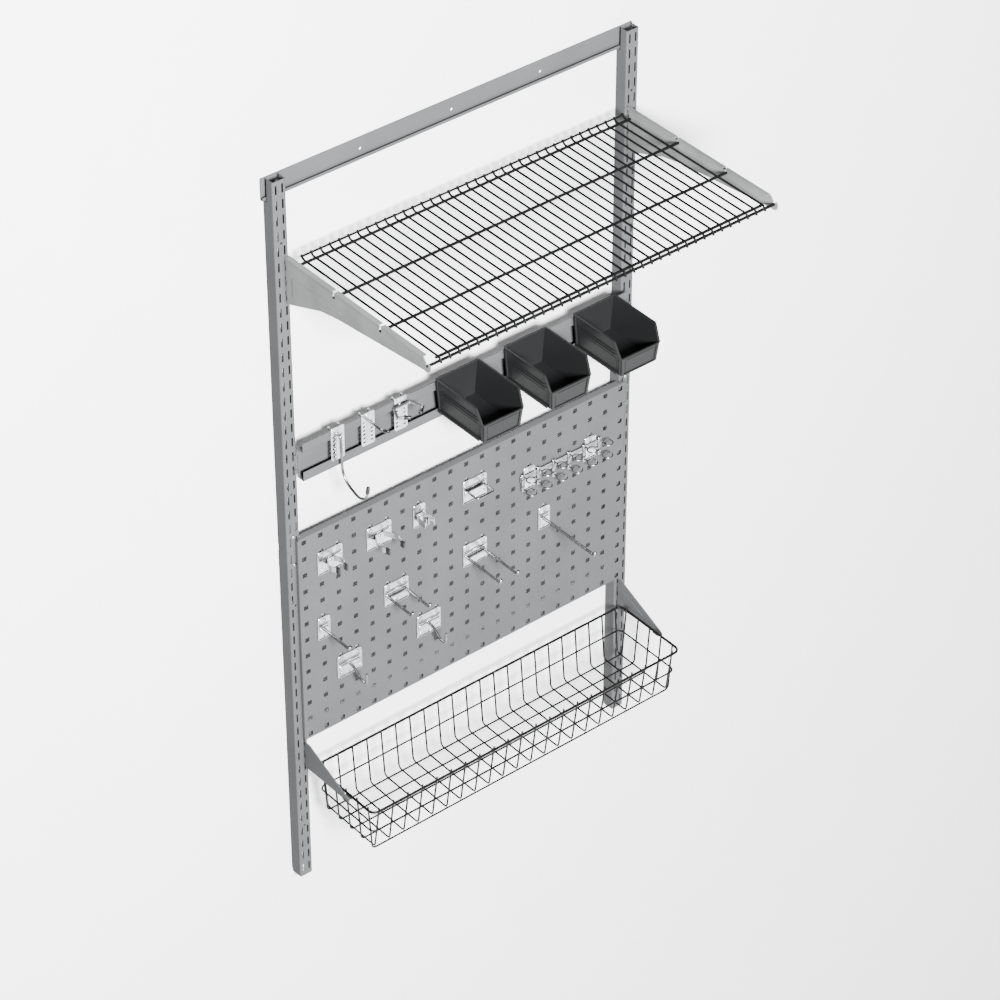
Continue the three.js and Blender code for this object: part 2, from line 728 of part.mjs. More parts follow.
// A spring clip: a base strip on the plate and two arms that curve out and back to a mouth.
function springClip(x, z, depth, belly, mouth, base, height) {
  const y = ROOT - 0.8;
  const arm = (side) => {
    const points = [[x, y]];
    points.push([x + side * base, y]);
    for (let k = 1; k <= 7; k += 1) {
      const t = k / 7;
      const spread = base + (belly - base) * Math.sin(Math.min(t * 1.35, 1) * Math.PI / 2);
      const closing = (belly - mouth) * Math.max(0, (t - 0.55) / 0.45) ** 1.5;
      points.push([x + side * (spread - closing), y - t * depth]);
    }
    return points;
  };
  const line = [...arm(-1).reverse(), ...arm(1).slice(1)];
  return strip(line, 1.4, z - height / 2, z + height / 2);
}

function clipTip(x, y, z, height) {
  return box(x - 2, x + 2, y - 5, y, z - height / 2 - 0.8, z + height / 2 + 0.8);
}

// A bar with stations, each a vertical strip and two level rings.
function ringBar(firstX, z) {
  const front = ROOT;
  const pieces = [box(firstX - 6, firstX + 5 * HOLE_PITCH + 6, front - 1.6, front, z - 7, z + 7)];
  for (let k = 0; k < 6; k += 1) {
    const x = firstX + k * HOLE_PITCH;
    pieces.push(box(x - 4, x + 4, front - 3, front - 1, z - 30, z + 12));
    for (const rise of [6, -24]) {
      const ring = new THREE.TorusGeometry(10, 1.7, 3, 8);
      ring.translate(x + 6, front - 20, z + rise);
      pieces.push(solid(ring));
      pieces.push(wire([[x, front - 2, z + rise], [x + 2, front - 10.5, z + rise]], 2, 3));
    }
  }
  return joined(pieces);
}

place('top_hang_rail', hangRail(), 'frame');
for (const [name, side] of [['left', -1], ['right', 1]]) {
  place(`upper_upright_${name}`, upright(side, UPRIGHT_LENGTH + 0.15, 2 * UPRIGHT_LENGTH, true), 'frame');
  place(`lower_upright_${name}`, upright(side, 0, UPRIGHT_LENGTH - 0.15, false), 'frame');
  place(`splice_${name}`, splice(side), 'frame');
  place(`splice_screw_${name}_upper`, spliceScrew(side, SPLICE_SCREW_OFFSET), 'zinc');
  place(`splice_screw_${name}_lower`, spliceScrew(side, -SPLICE_SCREW_OFFSET), 'zinc');
  place(`shelf_bracket_${name}`, shelfBracket(side), 'bracket');
  place(`basket_bracket_${name}`, basketBracket(side), 'frame');
}
place('pegboard_panel', pegboard(), 'frame');
place('bin_rail', binRail(), 'frame');
BIN_CENTRES.forEach((x, i) => place(`bin_${i + 1}`, bin(x), 'plastic'));
place('wire_shelf', shelf(), 'wireFinish');
place('wire_basket', basket(), 'wireFinish');

RAIL_HOOK_XS.forEach((x, i) => place(`rail_hook_${i + 1}_plate`, railHookPlate(x), 'zinc'));
const rodRoot = RAIL_PLATE_FRONT - TINY_GAP;
const rodZ = RAIL_PLATE_TOP - 17;
const drop = RAIL_HOOK_XS[0];
place('rail_hook_1_rod', wire([
  [drop, rodRoot, rodZ],
  [drop, rodRoot - 8, rodZ],
  [drop, rodRoot - 12, rodZ - 92],
  [drop, rodRoot - 60, rodZ - 110],
  [drop, rodRoot - 82, rodZ - 98],
  [drop, rodRoot - 87, rodZ - 70],
], 2.6, 6, 12, 3), 'zinc');
place('rail_hook_1_tip', cap([drop, rodRoot - 87, rodZ - 70], [0, -5, 28], 2.6, 16), 'vinyl');
const prong = RAIL_HOOK_XS[1];
place('rail_hook_2_rod', wire([
  [prong, rodRoot, rodZ],
  [prong, rodRoot - 40, rodZ],
  [prong, rodRoot - 60, rodZ + 9],
], 2.6, 6, 8, 2), 'zinc');
place('rail_hook_2_tip', cap([prong, rodRoot - 60, rodZ + 9], [0, -20, 9], 2.6, 14), 'vinyl');
const cradle = RAIL_HOOK_XS[2];
const cradleArms = [-1, 1].map((side) => wire([
  [cradle, rodRoot - 2.6, rodZ],
  [cradle + side * 18, rodRoot - 2.6, rodZ],
  [cradle + side * 30, rodRoot - 28, rodZ],
  [cradle + side * 12, rodRoot - 42, rodZ],
], 2.3, 6, 4, 2));
place('rail_hook_3_rod', joined(cradleArms), 'zinc');
for (const [name, side] of [['left', -1], ['right', 1]]) {
  const end = [cradle + side * 12, rodRoot - 42, rodZ];
  place(`rail_hook_3_tip_${name}`, cap(end, [-side * 18, -14, 0], 2.3, 11), 'vinyl');
}

place('clip_a_plate', hookPlate([1, 2], 1), 'zinc');
place('clip_b_plate', hookPlate([4, 5], 1), 'zinc');
place('clip_c_plate', hookPlate([7], 1), 'zinc');
place('loop_d_plate', hookPlate([10, 11], 1), 'zinc');
place('ring_bar_plate_left', hookPlate([14], 2), 'zinc');
place('ring_bar_plate_right', hookPlate([18], 2), 'zinc');
place('prong_f_plate', hookPlate([10, 11], 5), 'zinc');
place('prong_g_plate', hookPlate([15], 5), 'zinc');
place('prong_h_plate', hookPlate([5, 6], 5), 'zinc');
place('prong_i_plate', hookPlate([1], 5), 'zinc');
place('jay_j_plate', hookPlate([2, 3], 8), 'zinc');
place('jay_k_plate', hookPlate([7, 8], 8), 'zinc');

const clipZ = holeZ(1) - 27;
const clips = [
  ['a', holeX(1.5), 33, 17, 9, 8, 12],
  ['b', holeX(4.5), 46, 24, 17, 10, 12],
];
for (const [name, x, depth, belly, mouth, base, height] of clips) {
  place(`clip_${name}_spring`, springClip(x, clipZ, depth, belly, mouth, base, height), 'zinc');
  for (const [sideName, side] of [['left', -1], ['right', 1]]) {
    const tipY = ROOT - 1.8 - depth;
    place(`clip_${name}_tip_${sideName}`, clipTip(x + side * mouth, tipY, clipZ, height), 'vinyl');
  }
}
place('clip_c_spring', springClip(holeX(7), clipZ, 26, 7, 4, 6, 14), 'zinc');
place('loop_d_rod', rectangularLoop(holeX(10.5), holeZ(1) - 24), 'zinc');
place('ring_bar', ringBar(holeX(13.55), holeZ(2) - 22), 'zinc');
place('prong_f_rod', doubleProng(holeX(10.5), holeZ(5) - 30, 21, 104, 10), 'zinc');
place('prong_g_rod', singleProng(holeX(15), holeZ(5) - 30, 152, 9), 'zinc');
place('prong_h_rod', doubleProng(holeX(5.5), holeZ(5) - 30, 21, 76, 10), 'zinc');
place('prong_i_rod', singleProng(holeX(1), holeZ(5) - 30, 80, 9), 'zinc');
place('jay_j_rod', jayRod(holeX(2.5), holeZ(8) - 28), 'zinc');
place('jay_k_rod', jayRod(holeX(7.5), holeZ(8) - 28), 'zinc');

export default group;
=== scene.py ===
"""Looks for the pegboard tool wall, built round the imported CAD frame. Shapes are written in millimetres."""

import json
import math

import bmesh
import bpy
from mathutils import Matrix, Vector, geometry


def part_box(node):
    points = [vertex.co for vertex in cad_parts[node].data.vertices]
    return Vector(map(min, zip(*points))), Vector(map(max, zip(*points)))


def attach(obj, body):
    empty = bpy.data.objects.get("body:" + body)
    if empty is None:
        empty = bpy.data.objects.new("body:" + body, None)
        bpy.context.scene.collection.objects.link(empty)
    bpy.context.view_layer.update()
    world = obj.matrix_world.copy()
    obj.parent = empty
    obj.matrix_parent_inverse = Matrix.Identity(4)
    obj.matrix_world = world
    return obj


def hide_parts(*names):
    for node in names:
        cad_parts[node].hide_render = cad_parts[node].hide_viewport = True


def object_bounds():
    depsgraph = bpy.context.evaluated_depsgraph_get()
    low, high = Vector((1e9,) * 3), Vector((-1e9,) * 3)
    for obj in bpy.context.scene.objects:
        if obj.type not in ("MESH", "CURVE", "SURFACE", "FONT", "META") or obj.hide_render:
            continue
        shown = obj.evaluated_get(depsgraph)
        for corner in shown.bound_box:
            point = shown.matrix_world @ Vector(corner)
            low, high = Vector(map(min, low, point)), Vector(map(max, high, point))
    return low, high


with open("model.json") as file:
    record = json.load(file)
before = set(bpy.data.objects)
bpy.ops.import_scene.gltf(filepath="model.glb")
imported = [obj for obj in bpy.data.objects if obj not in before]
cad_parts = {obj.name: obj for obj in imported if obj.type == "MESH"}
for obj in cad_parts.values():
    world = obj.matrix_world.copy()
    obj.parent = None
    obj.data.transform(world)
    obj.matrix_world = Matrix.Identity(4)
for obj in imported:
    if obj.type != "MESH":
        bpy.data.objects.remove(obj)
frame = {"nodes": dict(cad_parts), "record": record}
cad_low, cad_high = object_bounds()
record = frame["record"]
body_of = {node: body for body, nodes in record["behaviour"]["bodies"].items() for node in nodes}

MM = 0.001
BEND = 1.6  # outside bend radius of folded sheet
HOLE_PITCH = 38.1
SLOT_PITCH = 31.75
SLOT_WIDTH = 4.0
SLOT_HEIGHT = 19.0
SLOT_OFFSET = 6.875
SLOT_FROM_TOP = 17.3
SLOT_COUNT = 25
TAB_X = 391.625  # middle of the uprights' inner slots, and of the brackets that hook into them
TO_WALL = 1.4  # how far the uprights' flanges run on from the CAD's, to meet the wall
HOLE_HALF = 5.1
BOARD_HALF = 394.5
BOARD_BACK = -29
FOLD_HALF = 382  # the board's top and bottom folds are deeper than the CAD's within this reach
TOP_FOLD_BACK = -22.3
BOTTOM_FOLD_BACK = -9
RAIL_HALF = 384
BIN_HEIGHT = 76.2
SHELF_WIRES = 37
SHELF_PITCH = 20.32
NOTCHES = (138.6, 268)  # from the uprights' front to the cross wires in the shelf brackets' notches
BASKET_WIRES = 22
BASKET_PITCH = 34.86


def span(node):
    """Lowest and highest corner of a CAD node at rest, in millimetres."""
    low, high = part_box(node)
    return low / MM, high / MM


def middle(node):
    low, high = span(node)
    return (low + high) / 2


def turned(loop, clockwise):
    """The loop, turned so that it runs clockwise or anticlockwise."""
    area = sum(a[0] * b[1] - b[0] * a[1] for a, b in zip(loop, loop[1:] + loop[:1]))
    return loop[::-1] if (area > 0) == clockwise else loop


def inset(loop, amount):
    """Moves each point of a closed loop to its left, across both of its edges."""
    result = []
    count = len(loop)
    for i, (u, v) in enumerate(loop):
        before, after = loop[i - 1], loop[(i + 1) % count]
        a = Vector((u - before[0], v - before[1])).normalized()
        b = Vector((after[0] - u, after[1] - v)).normalized()
        na, nb = Vector((-a.y, a.x)), Vector((-b.y, b.x))
        share = max(1 + na.dot(nb), 0.35)
        move = (na + nb) / share * amount
        result.append((u + move.x, v + move.y))
    return result


def rounded(points, radius, arc=4, closed=True):
    """Points with each corner replaced by an arc. radius is one number or one for each point."""
    vectors = [Vector(p) for p in points]
    count = len(vectors)
    radii = list(radius) if hasattr(radius, "__len__") else [radius] * count
    result = []
    for i, corner in enumerate(vectors):
        if not closed and i in (0, count - 1) or radii[i] <= 0:
            result.append(corner)
            continue
        back = vectors[i - 1] - corner
        ahead = vectors[(i + 1) % count] - corner
        half = back.angle(ahead) / 2
        if half > math.pi / 2 - 0.01:
            result.append(corner)
            continue
        reach = min(radii[i] / math.tan(half), back.length * 0.49, ahead.length * 0.49)
        r = reach * math.tan(half)
        back.normalize()
        ahead.normalize()
        centre = corner + (back + ahead).normalized() * (r / math.sin(half))
        start = corner + back * reach - centre
        end = corner + ahead * reach - centre
        sweep = start.angle(end)
        for k in range(arc + 1):
            t = k / arc
            a, b = math.sin((1 - t) * sweep), math.sin(t * sweep)
            result.append(centre + (start * a + end * b) / math.sin(sweep))
    return [tuple(p) for p in result]


def rectangle(u0, u1, v0, v1, radius=0.0, arc=3):
    corners = [(u0, v0), (u1, v0), (u1, v1), (u0, v1)]
    return rounded(corners, radius, arc) if radius else corners


def circle(u, v, radius, sides=20):
    steps = [2 * math.pi * k / sides for k in range(sides)]
    return [(u + radius * math.cos(a), v + radius * math.sin(a)) for a in steps]


def sheet_outline(line, thickness, radius, arc=4):
    """A closed outline of sheet of the given thickness that follows an open, rounded line."""
    line = rounded(line, radius, arc, closed=False)
    sides = []
    for i, (u, v) in enumerate(line):
        before, after = line[max(i - 1, 0)], line[min(i + 1, len(line) - 1)]
        along = Vector((after[0] - before[0], after[1] - before[1])).normalized()
        sides.append((u, v, -along.y * thickness / 2, along.x * thickness / 2))
    left = [(u + a, v + b) for u, v, a, b in sides]
    right = [(u - a, v - b) for u, v, a, b in reversed(sides)]
    return left + right


class Piece:
    """Closed shapes gathered into one mesh object that rides on a CAD body."""

    def __init__(self):
        self.vertices = []
        self.faces = []

    def add(self, vertices, faces, warp=None):
        base = len(self.vertices)
        self.vertices += [warp(Vector(v)) if warp else Vector(v) for v in vertices]
        self.faces += [[base + i for i in face] for face in faces]

    def plate(self, outer, w0, w1, plane="XZ", holes=(), bevel=0.3, warp=None):
        """Flat sheet with holes: its outline lies in the named plane, and w0 and w1 are its two faces."""
        loops = [turned([tuple(p) for p in outer], False)]
        loops += [turned([tuple(p) for p in hole], True) for hole in holes]
        small = [inset(loop, bevel) for loop in loops]
        order = {"XZ": (0, 2, 1), "XY": (0, 1, 2), "YZ": (1, 2, 0)}[plane]
        levels = [(w0, small), (w0 + bevel, loops), (w1 - bevel, loops), (w1, small)]
        vertices = []
        starts = []
        for w, rings in levels:
            starts.append(len(vertices))
            for ring in rings:
                for u, v in ring:
                    point = [0.0, 0.0, 0.0]
                    point[order[0]], point[order[1]], point[order[2]] = u, v, w
                    vertices.append(point)
        faces = []
        flat = [[Vector((u, v, 0)) for u, v in ring] for ring in small]
        for triangle in geometry.tessellate_polygon(flat):
            faces.append([starts[0] + i for i in triangle][::-1])
            faces.append([starts[3] + i for i in triangle])
        for low, high in zip(starts, starts[1:]):
            at = 0
            for ring in loops:
                count = len(ring)
                for i in range(count):
                    j = (i + 1) % count
                    faces.append([low + at + i, low + at + j, high + at + j, high + at + i])
                at += count
        self.add(vertices, faces, warp)

    def tube(self, points, radius, fillet=0.0, sides=10, closed=False, arc=4):
        """Round rod along a line with rounded bends and slightly rounded ends."""
        line = rounded(points, fillet, arc, closed) if fillet else points
        line = [Vector(p) for p in line]
        count = len(line)
        tangents = []
        for i in range(count):
            before = line[i - 1] if closed or i else line[0]
            after = line[(i + 1) % count] if closed or i < count - 1 else line[-1]
            tangents.append((after - before).normalized())
        normal = tangents[0].orthogonal().normalized()
        rings = []
        for i, (point, tangent) in enumerate(zip(line, tangents)):
            if i:
                normal = tangents[i - 1].rotation_difference(tangent) @ normal
            rings.append((point, tangent, normal.copy(), radius))
        if not closed:
            first, last = rings[0], rings[-1]
            nose = 0.35 * radius
            rings[0] = (first[0] + first[1] * nose, first[1], first[2], first[3])
            rings.insert(0, (first[0], first[1], first[2], first[3] - nose))
            rings[-1] = (last[0] - last[1] * nose, last[1], last[2], last[3])
            rings.append((last[0], last[1], last[2], last[3] - nose))
        vertices = []
        for point, tangent, side, size in rings:
            up = tangent.cross(side)
            for k in range(sides):
                angle = 2 * math.pi * k / sides
                vertices.append(point + (side * math.cos(angle) + up * math.sin(angle)) * size)
        faces = []
        total = len(rings)
        for i in range(total if closed else total - 1):
            a, b = i * sides, ((i + 1) % total) * sides
            for k in range(sides):
                m = (k + 1) % sides
                faces.append([a + k, a + m, b + m, b + k])
        if not closed:
            faces.append(list(range(sides))[::-1])
            faces.append([(total - 1) * sides + k for k in range(sides)])
        self.add(vertices, faces)

    def lathe(self, profile, base, direction, sides=20):
        """Turned shape: profile is (radius, height) pairs along the direction, from the base."""
        turn = Vector((0, 0, 1)).rotation_difference(Vector(direction).normalized())
        vertices = []
        for radius, height in profile:
            for k in range(sides):
                angle = 2 * math.pi * k / sides
                local = Vector((radius * math.cos(angle), radius * math.sin(angle), height))
                vertices.append(Vector(base) + turn @ local)
        faces = []
        for i in range(len(profile) - 1):
            for k in range(sides):
                m = (k + 1) % sides
                a, b = i * sides, (i + 1) * sides
                faces.append([a + k, a + m, b + m, b + k])
        faces.append(list(range(sides))[::-1])
        faces.append([(len(profile) - 1) * sides + k for k in range(sides)])
        self.add(vertices, faces)

    def weld(self, centre, radius, squash=(1.0, 1.0, 1.0)):
        """Small smooth bead of weld."""
        vertices = [Vector(centre) + Vector((0, 0, radius * squash[2]))]
        rows, sides = 3, 8
        for row in range(1, rows + 1):
            polar = math.pi * row / (rows + 1)
            for k in range(sides):
                angle = 2 * math.pi * k / sides
                flat = math.sin(polar)
                unit = Vector((flat * math.cos(angle), flat * math.sin(angle), math.cos(polar)))
                vertices.append(Vector(centre) + Vector(a * b for a, b in zip(unit, squash)) * radius)
        vertices.append(Vector(centre) - Vector((0, 0, radius * squash[2])))
        faces = []
        last = len(vertices) - 1
        for k in range(sides):
            m = (k + 1) % sides
            faces.append([0, 1 + k, 1 + m])
            for row in range(rows - 1):
                a = 1 + row * sides
                faces.append([a + k, a + sides + k, a + sides + m, a + m])
            end = 1 + (rows - 1) * sides
            faces.append([last, end + m, end + k])
        self.add(vertices, faces)

    def finish(self, node, material, extra=()):
        """Makes the object, which takes the place of the CAD node."""
        mesh = bpy.data.meshes.new(node + "_look")
        mesh.from_pydata([v * MM for v in self.vertices], [], self.faces)
        shape = bmesh.new()
        shape.from_mesh(mesh)
        bmesh.ops.recalc_face_normals(shape, faces=shape.faces)
        shape.to_mesh(mesh)
        shape.free()
        mesh.shade_smooth()
        mesh.set_sharp_from_angle(angle=math.radians(32))
        item = bpy.data.objects.new(node + "_look", mesh)
        bpy.context.scene.collection.objects.link(item)
        item.data.materials.append(material)
        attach(item, body_of[node])
        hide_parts(node, *extra)
        return item


# Materials


def noise(nodes, links, coordinates, scale, detail=2.0, stretch=(1.0, 1.0, 1.0)):
    mapping = nodes.new("ShaderNodeMapping")
    mapping.inputs["Scale"].default_value = stretch
    links.new(coordinates, mapping.inputs["Vector"])
    texture = nodes.new("ShaderNodeTexNoise")
    texture.inputs["Scale"].default_value = scale
    texture.inputs["Detail"].default_value = detail
    links.new(mapping.outputs["Vector"], texture.inputs["Vector"])
    return texture.outputs["Fac"]


def spread(nodes, links, value, low, high, start=0.3, end=0.7):
    """Maps a value from start..end to low..high."""
    ramp = nodes.new("ShaderNodeMapRange")
    ramp.inputs["From Min"].default_value = start
    ramp.inputs["From Max"].default_value = end
    ramp.inputs["To Min"].default_value = low
    ramp.inputs["To Max"].default_value = high
    links.new(value, ramp.inputs["Value"])
    return ramp.outputs["Result"]


def surface(
    name, dark, light, metallic, rough, grain, depth,
    patch=9.0, wear=None, stretch=(1.0, 1.0, 1.0), crease=None, shine=0.5,
):
    """A finish with patchy colour, uneven roughness and a fine grain. wear is the colour of worn edges, and
    crease is how far and how much painted shade, from ambient occlusion, darkens the hollows."""
    material = bpy.data.materials.new(name)
    material.use_nodes = True
    nodes, links = material.node_tree.nodes, material.node_tree.links
    shader = nodes["Principled BSDF"]
    shader.inputs["Metallic"].default_value = metallic
    shader.inputs["Specular IOR Level"].default_value = shine
    coordinates = nodes.new("ShaderNodeTexCoord").outputs["Object"]
    patches = spread(nodes, links, noise(nodes, links, coordinates, patch, 4.0), 0.0, 1.0)
    mix = nodes.new("ShaderNodeMix")
    mix.data_type = "RGBA"
    mix.inputs["A"].default_value = (*dark, 1)
    mix.inputs["B"].default_value = (*light, 1)
    links.new(patches, mix.inputs["Factor"])
    colour = mix.outputs["Result"]
    if wear:
        edge = spread(nodes, links, nodes.new("ShaderNodeNewGeometry").outputs["Pointiness"], 0.0, 0.6, 0.52, 0.6)
        worn = nodes.new("ShaderNodeMix")
        worn.data_type = "RGBA"
        worn.inputs["B"].default_value = (*wear, 1)
        links.new(colour, worn.inputs["A"])
        links.new(edge, worn.inputs["Factor"])
        colour = worn.outputs["Result"]
    # Painted shade: ambient occlusion darkens the colour in hollows, creases and the gaps between parts.
    if crease:
        reach, share = crease
        hollow = nodes.new("ShaderNodeAmbientOcclusion")
        hollow.samples = 6
        hollow.inputs["Distance"].default_value = reach
        painted_shade = spread(nodes, links, hollow.outputs["AO"], 1 - share, 1.0, 0.15, 0.8)
        shade = nodes.new("ShaderNodeVectorMath")
        shade.operation = "SCALE"
        links.new(colour, shade.inputs["Vector"])
        links.new(painted_shade, shade.inputs["Scale"])
        colour = shade.outputs["Vector"]
    links.new(colour, shader.inputs["Base Color"])
    fine = noise(nodes, links, coordinates, grain, 3.0, stretch)
    links.new(spread(nodes, links, fine, *rough), shader.inputs["Roughness"])
    bump = nodes.new("ShaderNodeBump")
    bump.inputs["Strength"].default_value = depth
    bump.inputs["Distance"].default_value = 0.0002
    links.new(fine, bump.inputs["Height"])
    links.new(bump.outputs["Normal"], shader.inputs["Normal"])
    return material


def grey(value, tint=(1.0, 1.0, 1.0)):
    return tuple(value * t for t in tint)


COOL = (0.97, 1.0, 1.03)
GREENISH = (0.96, 1.0, 0.98)
DRAWN = (1.0, 1.0, 3.0)  # grain of zinc plate
# The powder, bracket and zinc finishes below get painted shade in their hollows through their crease setting.
powder = surface(
    "powder_coat", grey(0.068, COOL), grey(0.078, COOL), 0.0, (0.6, 0.72), 1300, 0.16,
    crease=(0.01, 0.8), shine=0.14,
)
bracket_coat = surface(
    "bracket_coat", grey(0.13, GREENISH), grey(0.19, GREENISH), 0.0, (0.5, 0.62), 1300, 0.12,
    patch=14, crease=(0.012, 0.75), shine=0.25,
)
wire_coat = surface("wire_coat", grey(0.003, COOL), grey(0.006, COOL), 0.0, (0.3, 0.4), 1500, 0.1, shine=0.16)
zinc = surface(
    "zinc_plate", grey(0.42, COOL), grey(0.72, COOL), 1.0, (0.2, 0.34), 700, 0.1,
    patch=80, stretch=DRAWN, crease=(0.006, 0.96),
)
zinc_wire = surface(
    "zinc_wire", grey(0.2, COOL), grey(0.38, COOL), 1.0, (0.2, 0.3), 700, 0.1,
    patch=80, stretch=DRAWN, crease=(0.006, 0.9),
)
bin_plastic = surface(
    "bin_plastic", grey(0.002, COOL), grey(0.0035, COOL), 0.0, (0.32, 0.44), 1700, 0.2,
    wear=grey(0.02, COOL), shine=0.2,
)
vinyl = surface("vinyl_dip", grey(0.006), grey(0.01), 0.0, (0.25, 0.4), 500, 0.05)


# Hang rail and uprights


def hang_rail():
    low, high = span("top_hang_rail")
    piece = Piece()
    screws = [circle(x, 0, 3, 16) for x in (-203.2, 0, 203.2)]
    fold = low.z + BEND + 1
    piece.plate(rectangle(low.x, high.x, fold - 0.3, high.z, 1.5), -2, 0, "XZ", screws)
    line = [(-1, fold), (-1, low.z + 0.8), (low.y + 0.8, low.z + 0.8), (low.y + 0.8, low.z + 7)]
    piece.plate(sheet_outline(line, 1.6, BEND), low.x, high.x, "YZ")
    piece.finish("top_hang_rail", powder)


def upright(node, upper):
    low, high = span(node)
    c = (low.x + high.x) / 2
    half = (high.x - low.x) / 2
    sheet, bend = 1.8, 2.6
    front, back = low.y, high.y
    if upper:
        back = span("lower_" + node[6:])[1].y
    back += TO_WALL
    holes = []
    for k in range(SLOT_COUNT):
        z = high.z - SLOT_FROM_TOP - SLOT_PITCH * k
        for side in (-1, 1):
            x = c + side * SLOT_OFFSET
            w, h = SLOT_WIDTH / 2, SLOT_HEIGHT / 2
            holes.append(rectangle(x - w, x + w, z - h, z + h, 0.7, 2))
    for z in (low.z + 128, high.z - 128):
        holes.append(circle(c, z, 2.5, 14))
    piece = Piece()
    web = rectangle(c - half + bend, c + half - bend, low.z, high.z)
    piece.plate(web, front, front + sheet, "XZ", holes, 0.22)
    for side in (-1, 1):
        edge = c + side * half
        bow = []
        for k in range(7):
            a = math.pi / 2 * k / 6
            bow.append((edge - side * bend + side * bend * math.sin(a), front + bend - bend * math.cos(a)))
        for k in range(6, -1, -1):
            a = math.pi / 2 * k / 6
            r = bend - sheet
            bow.append((edge - side * bend + side * r * math.sin(a), front + bend - r * math.cos(a)))
        piece.plate(bow, low.z + 0.2, high.z - 0.2, "XY", bevel=0.02)
        top = high.z
        nib = 3.0
        flange = [(front + bend, low.z), (back - nib, low.z), (back - nib, low.z + 6), (back, low.z + 7)]
        if upper:
            rail = span("top_hang_rail")[0].z - 2
            flange += [(back, rail), (-11, rail), (-11, top), (front + bend, top)]
        else:
            flange += [(back, top - 7), (back - nib, top - 6), (back - nib, top), (front + bend, top)]
        x0, x1 = sorted((edge, edge - side * sheet))
        piece.plate(flange, x0, x1, "YZ", bevel=0.22)
    if upper:
        rail = span("top_hang_rail")[0].z
        hook = [(front + 1.5, rail + 7.6), (-6, rail + 7.6), (-6, rail + 2), (-2.6, rail + 2), (-2.6, rail + 22)]
        hook += [(-6, rail + 25), (front + 1.5, rail + 25)]
        piece.plate(hook, c - 1, c + 1, "YZ")
    piece.finish(node, powder)


def screw(node):
    head = middle(node)
    head.y = span(node)[0].y + 2.2
    piece = Piece()
    dome = [(2.0, 8), (2.0, 0), (3.25, 0), (3.3, -0.5), (3.1, -1.3), (2.5, -1.9), (1.5, -2.2), (0.9, -2.2)]
    dome += [(0.7, -1.4), (0.05, -1.1)]
    piece.lathe([(r, -h) for r, h in dome], head, (0, -1, 0), 20)
    piece.finish(node, zinc)


# Pegboard and bin rail


def slot_hook(piece, x0, x1, y_from, z):
    """Tab through an upright's slot, turned down behind its web."""
    foot = z - SLOT_HEIGHT / 2 + 0.3
    web = span("lower_upright_left")[0].y + 2.1
    outline = [(y_from, foot), (web, foot), (web, foot - 6), (web + 0.8, foot - 7), (web + 2, foot - 6)]
    outline += [(web + 2, z), (web + 1, z + 1), (y_from, z + 1)]
    piece.plate(outline, x0, x1, "YZ", bevel=0.2)


def lower_slot(k):
    return span("lower_upright_left")[1].z - SLOT_FROM_TOP - SLOT_PITCH * k


def upper_slot(k):
    return span("upper_upright_left")[1].z - SLOT_FROM_TOP - SLOT_PITCH * k


def hole_centres():
    """Column and row places of the pegboard's holes."""
    top = span("pegboard_panel")[1].z
    columns = [(c - 10) * HOLE_PITCH for c in range(21)]
    rows = [top - 11 - r * HOLE_PITCH for r in range(13)]
    return columns, rows


def pegboard():
    low, high = span("pegboard_panel")
    half = BOARD_HALF
    sheet, bend = 1.2, 1.8
    front, back = low.y, BOARD_BACK
    columns, rows = hole_centres()
    h = HOLE_HALF
    holes = [rectangle(x - h, x + h, z - h, z + h, 1.1, 2) for x in columns for z in rows]
    piece = Piece()
    inner = rectangle(-half + bend, half - bend, low.z + bend, high.z - bend)
    piece.plate(inner, front, front + sheet, "XZ", holes, 0.2)

    def fold(u_edge, sign, reach):
        """Outline of a rounded fold and its return, along an edge at u_edge."""
        line = [(u_edge - sign * bend, front + sheet / 2), (u_edge - sign * sheet / 2, front + sheet / 2)]
        line.append((u_edge - sign * sheet / 2, reach))
        return sheet_outline(line, sheet, bend - sheet / 2, 5)

    between = FOLD_HALF
    for side in (-1, 1):
        piece.plate(fold(side * half, side, back), low.z + bend, high.z - bend, "XY", bevel=0.1)
        edge, deep = (high.z, TOP_FOLD_BACK) if side > 0 else (low.z, BOTTOM_FOLD_BACK)
        for reach, x0, x1 in (
            (back, -half + bend, -between), (deep, -between, between), (back, between, half - bend),
        ):
            outline = [(v, u) for u, v in fold(edge, side, reach)]
            piece.plate(outline, x0, x1, "YZ", bevel=0.1)
        for k in (3, 8, 12):
            x0, x1 = sorted((side * (half - sheet + 0.1), side * (half - sheet - 2.1)))
            slot_hook(piece, x0, x1, -34, lower_slot(k))
    piece.finish("pegboard_panel", powder)


def bin_rail():
    low, high = span("bin_rail")
    reach = RAIL_HALF
    t = 1.5
    front, back = low.y + t / 2, -29.2 - t / 2
    web = low.z + 65.5
    line = [(front, high.z), (front, web - t / 2), (back, web - t / 2)]
    line += [(back, low.z + t / 2), (front, low.z + t / 2), (front, low.z + 21)]
    piece = Piece()
    piece.plate(sheet_outline(line, t, 2.2, 5), -reach, reach, "YZ")
    for side in (-1, 1):
        for k in (18, 19):
            z = upper_slot(k)
            x0, x1 = sorted((side * (reach - 2), side * 392.6))
            piece.plate(rectangle(x0, x1, z - 9.2, z + 1, 0.6), back - t / 2, back + t / 2, "XZ")
            slot_hook(piece, side * TAB_X - 1, side * TAB_X + 1, back - t / 2, z)
    piece.finish("bin_rail", powder)


# Bins


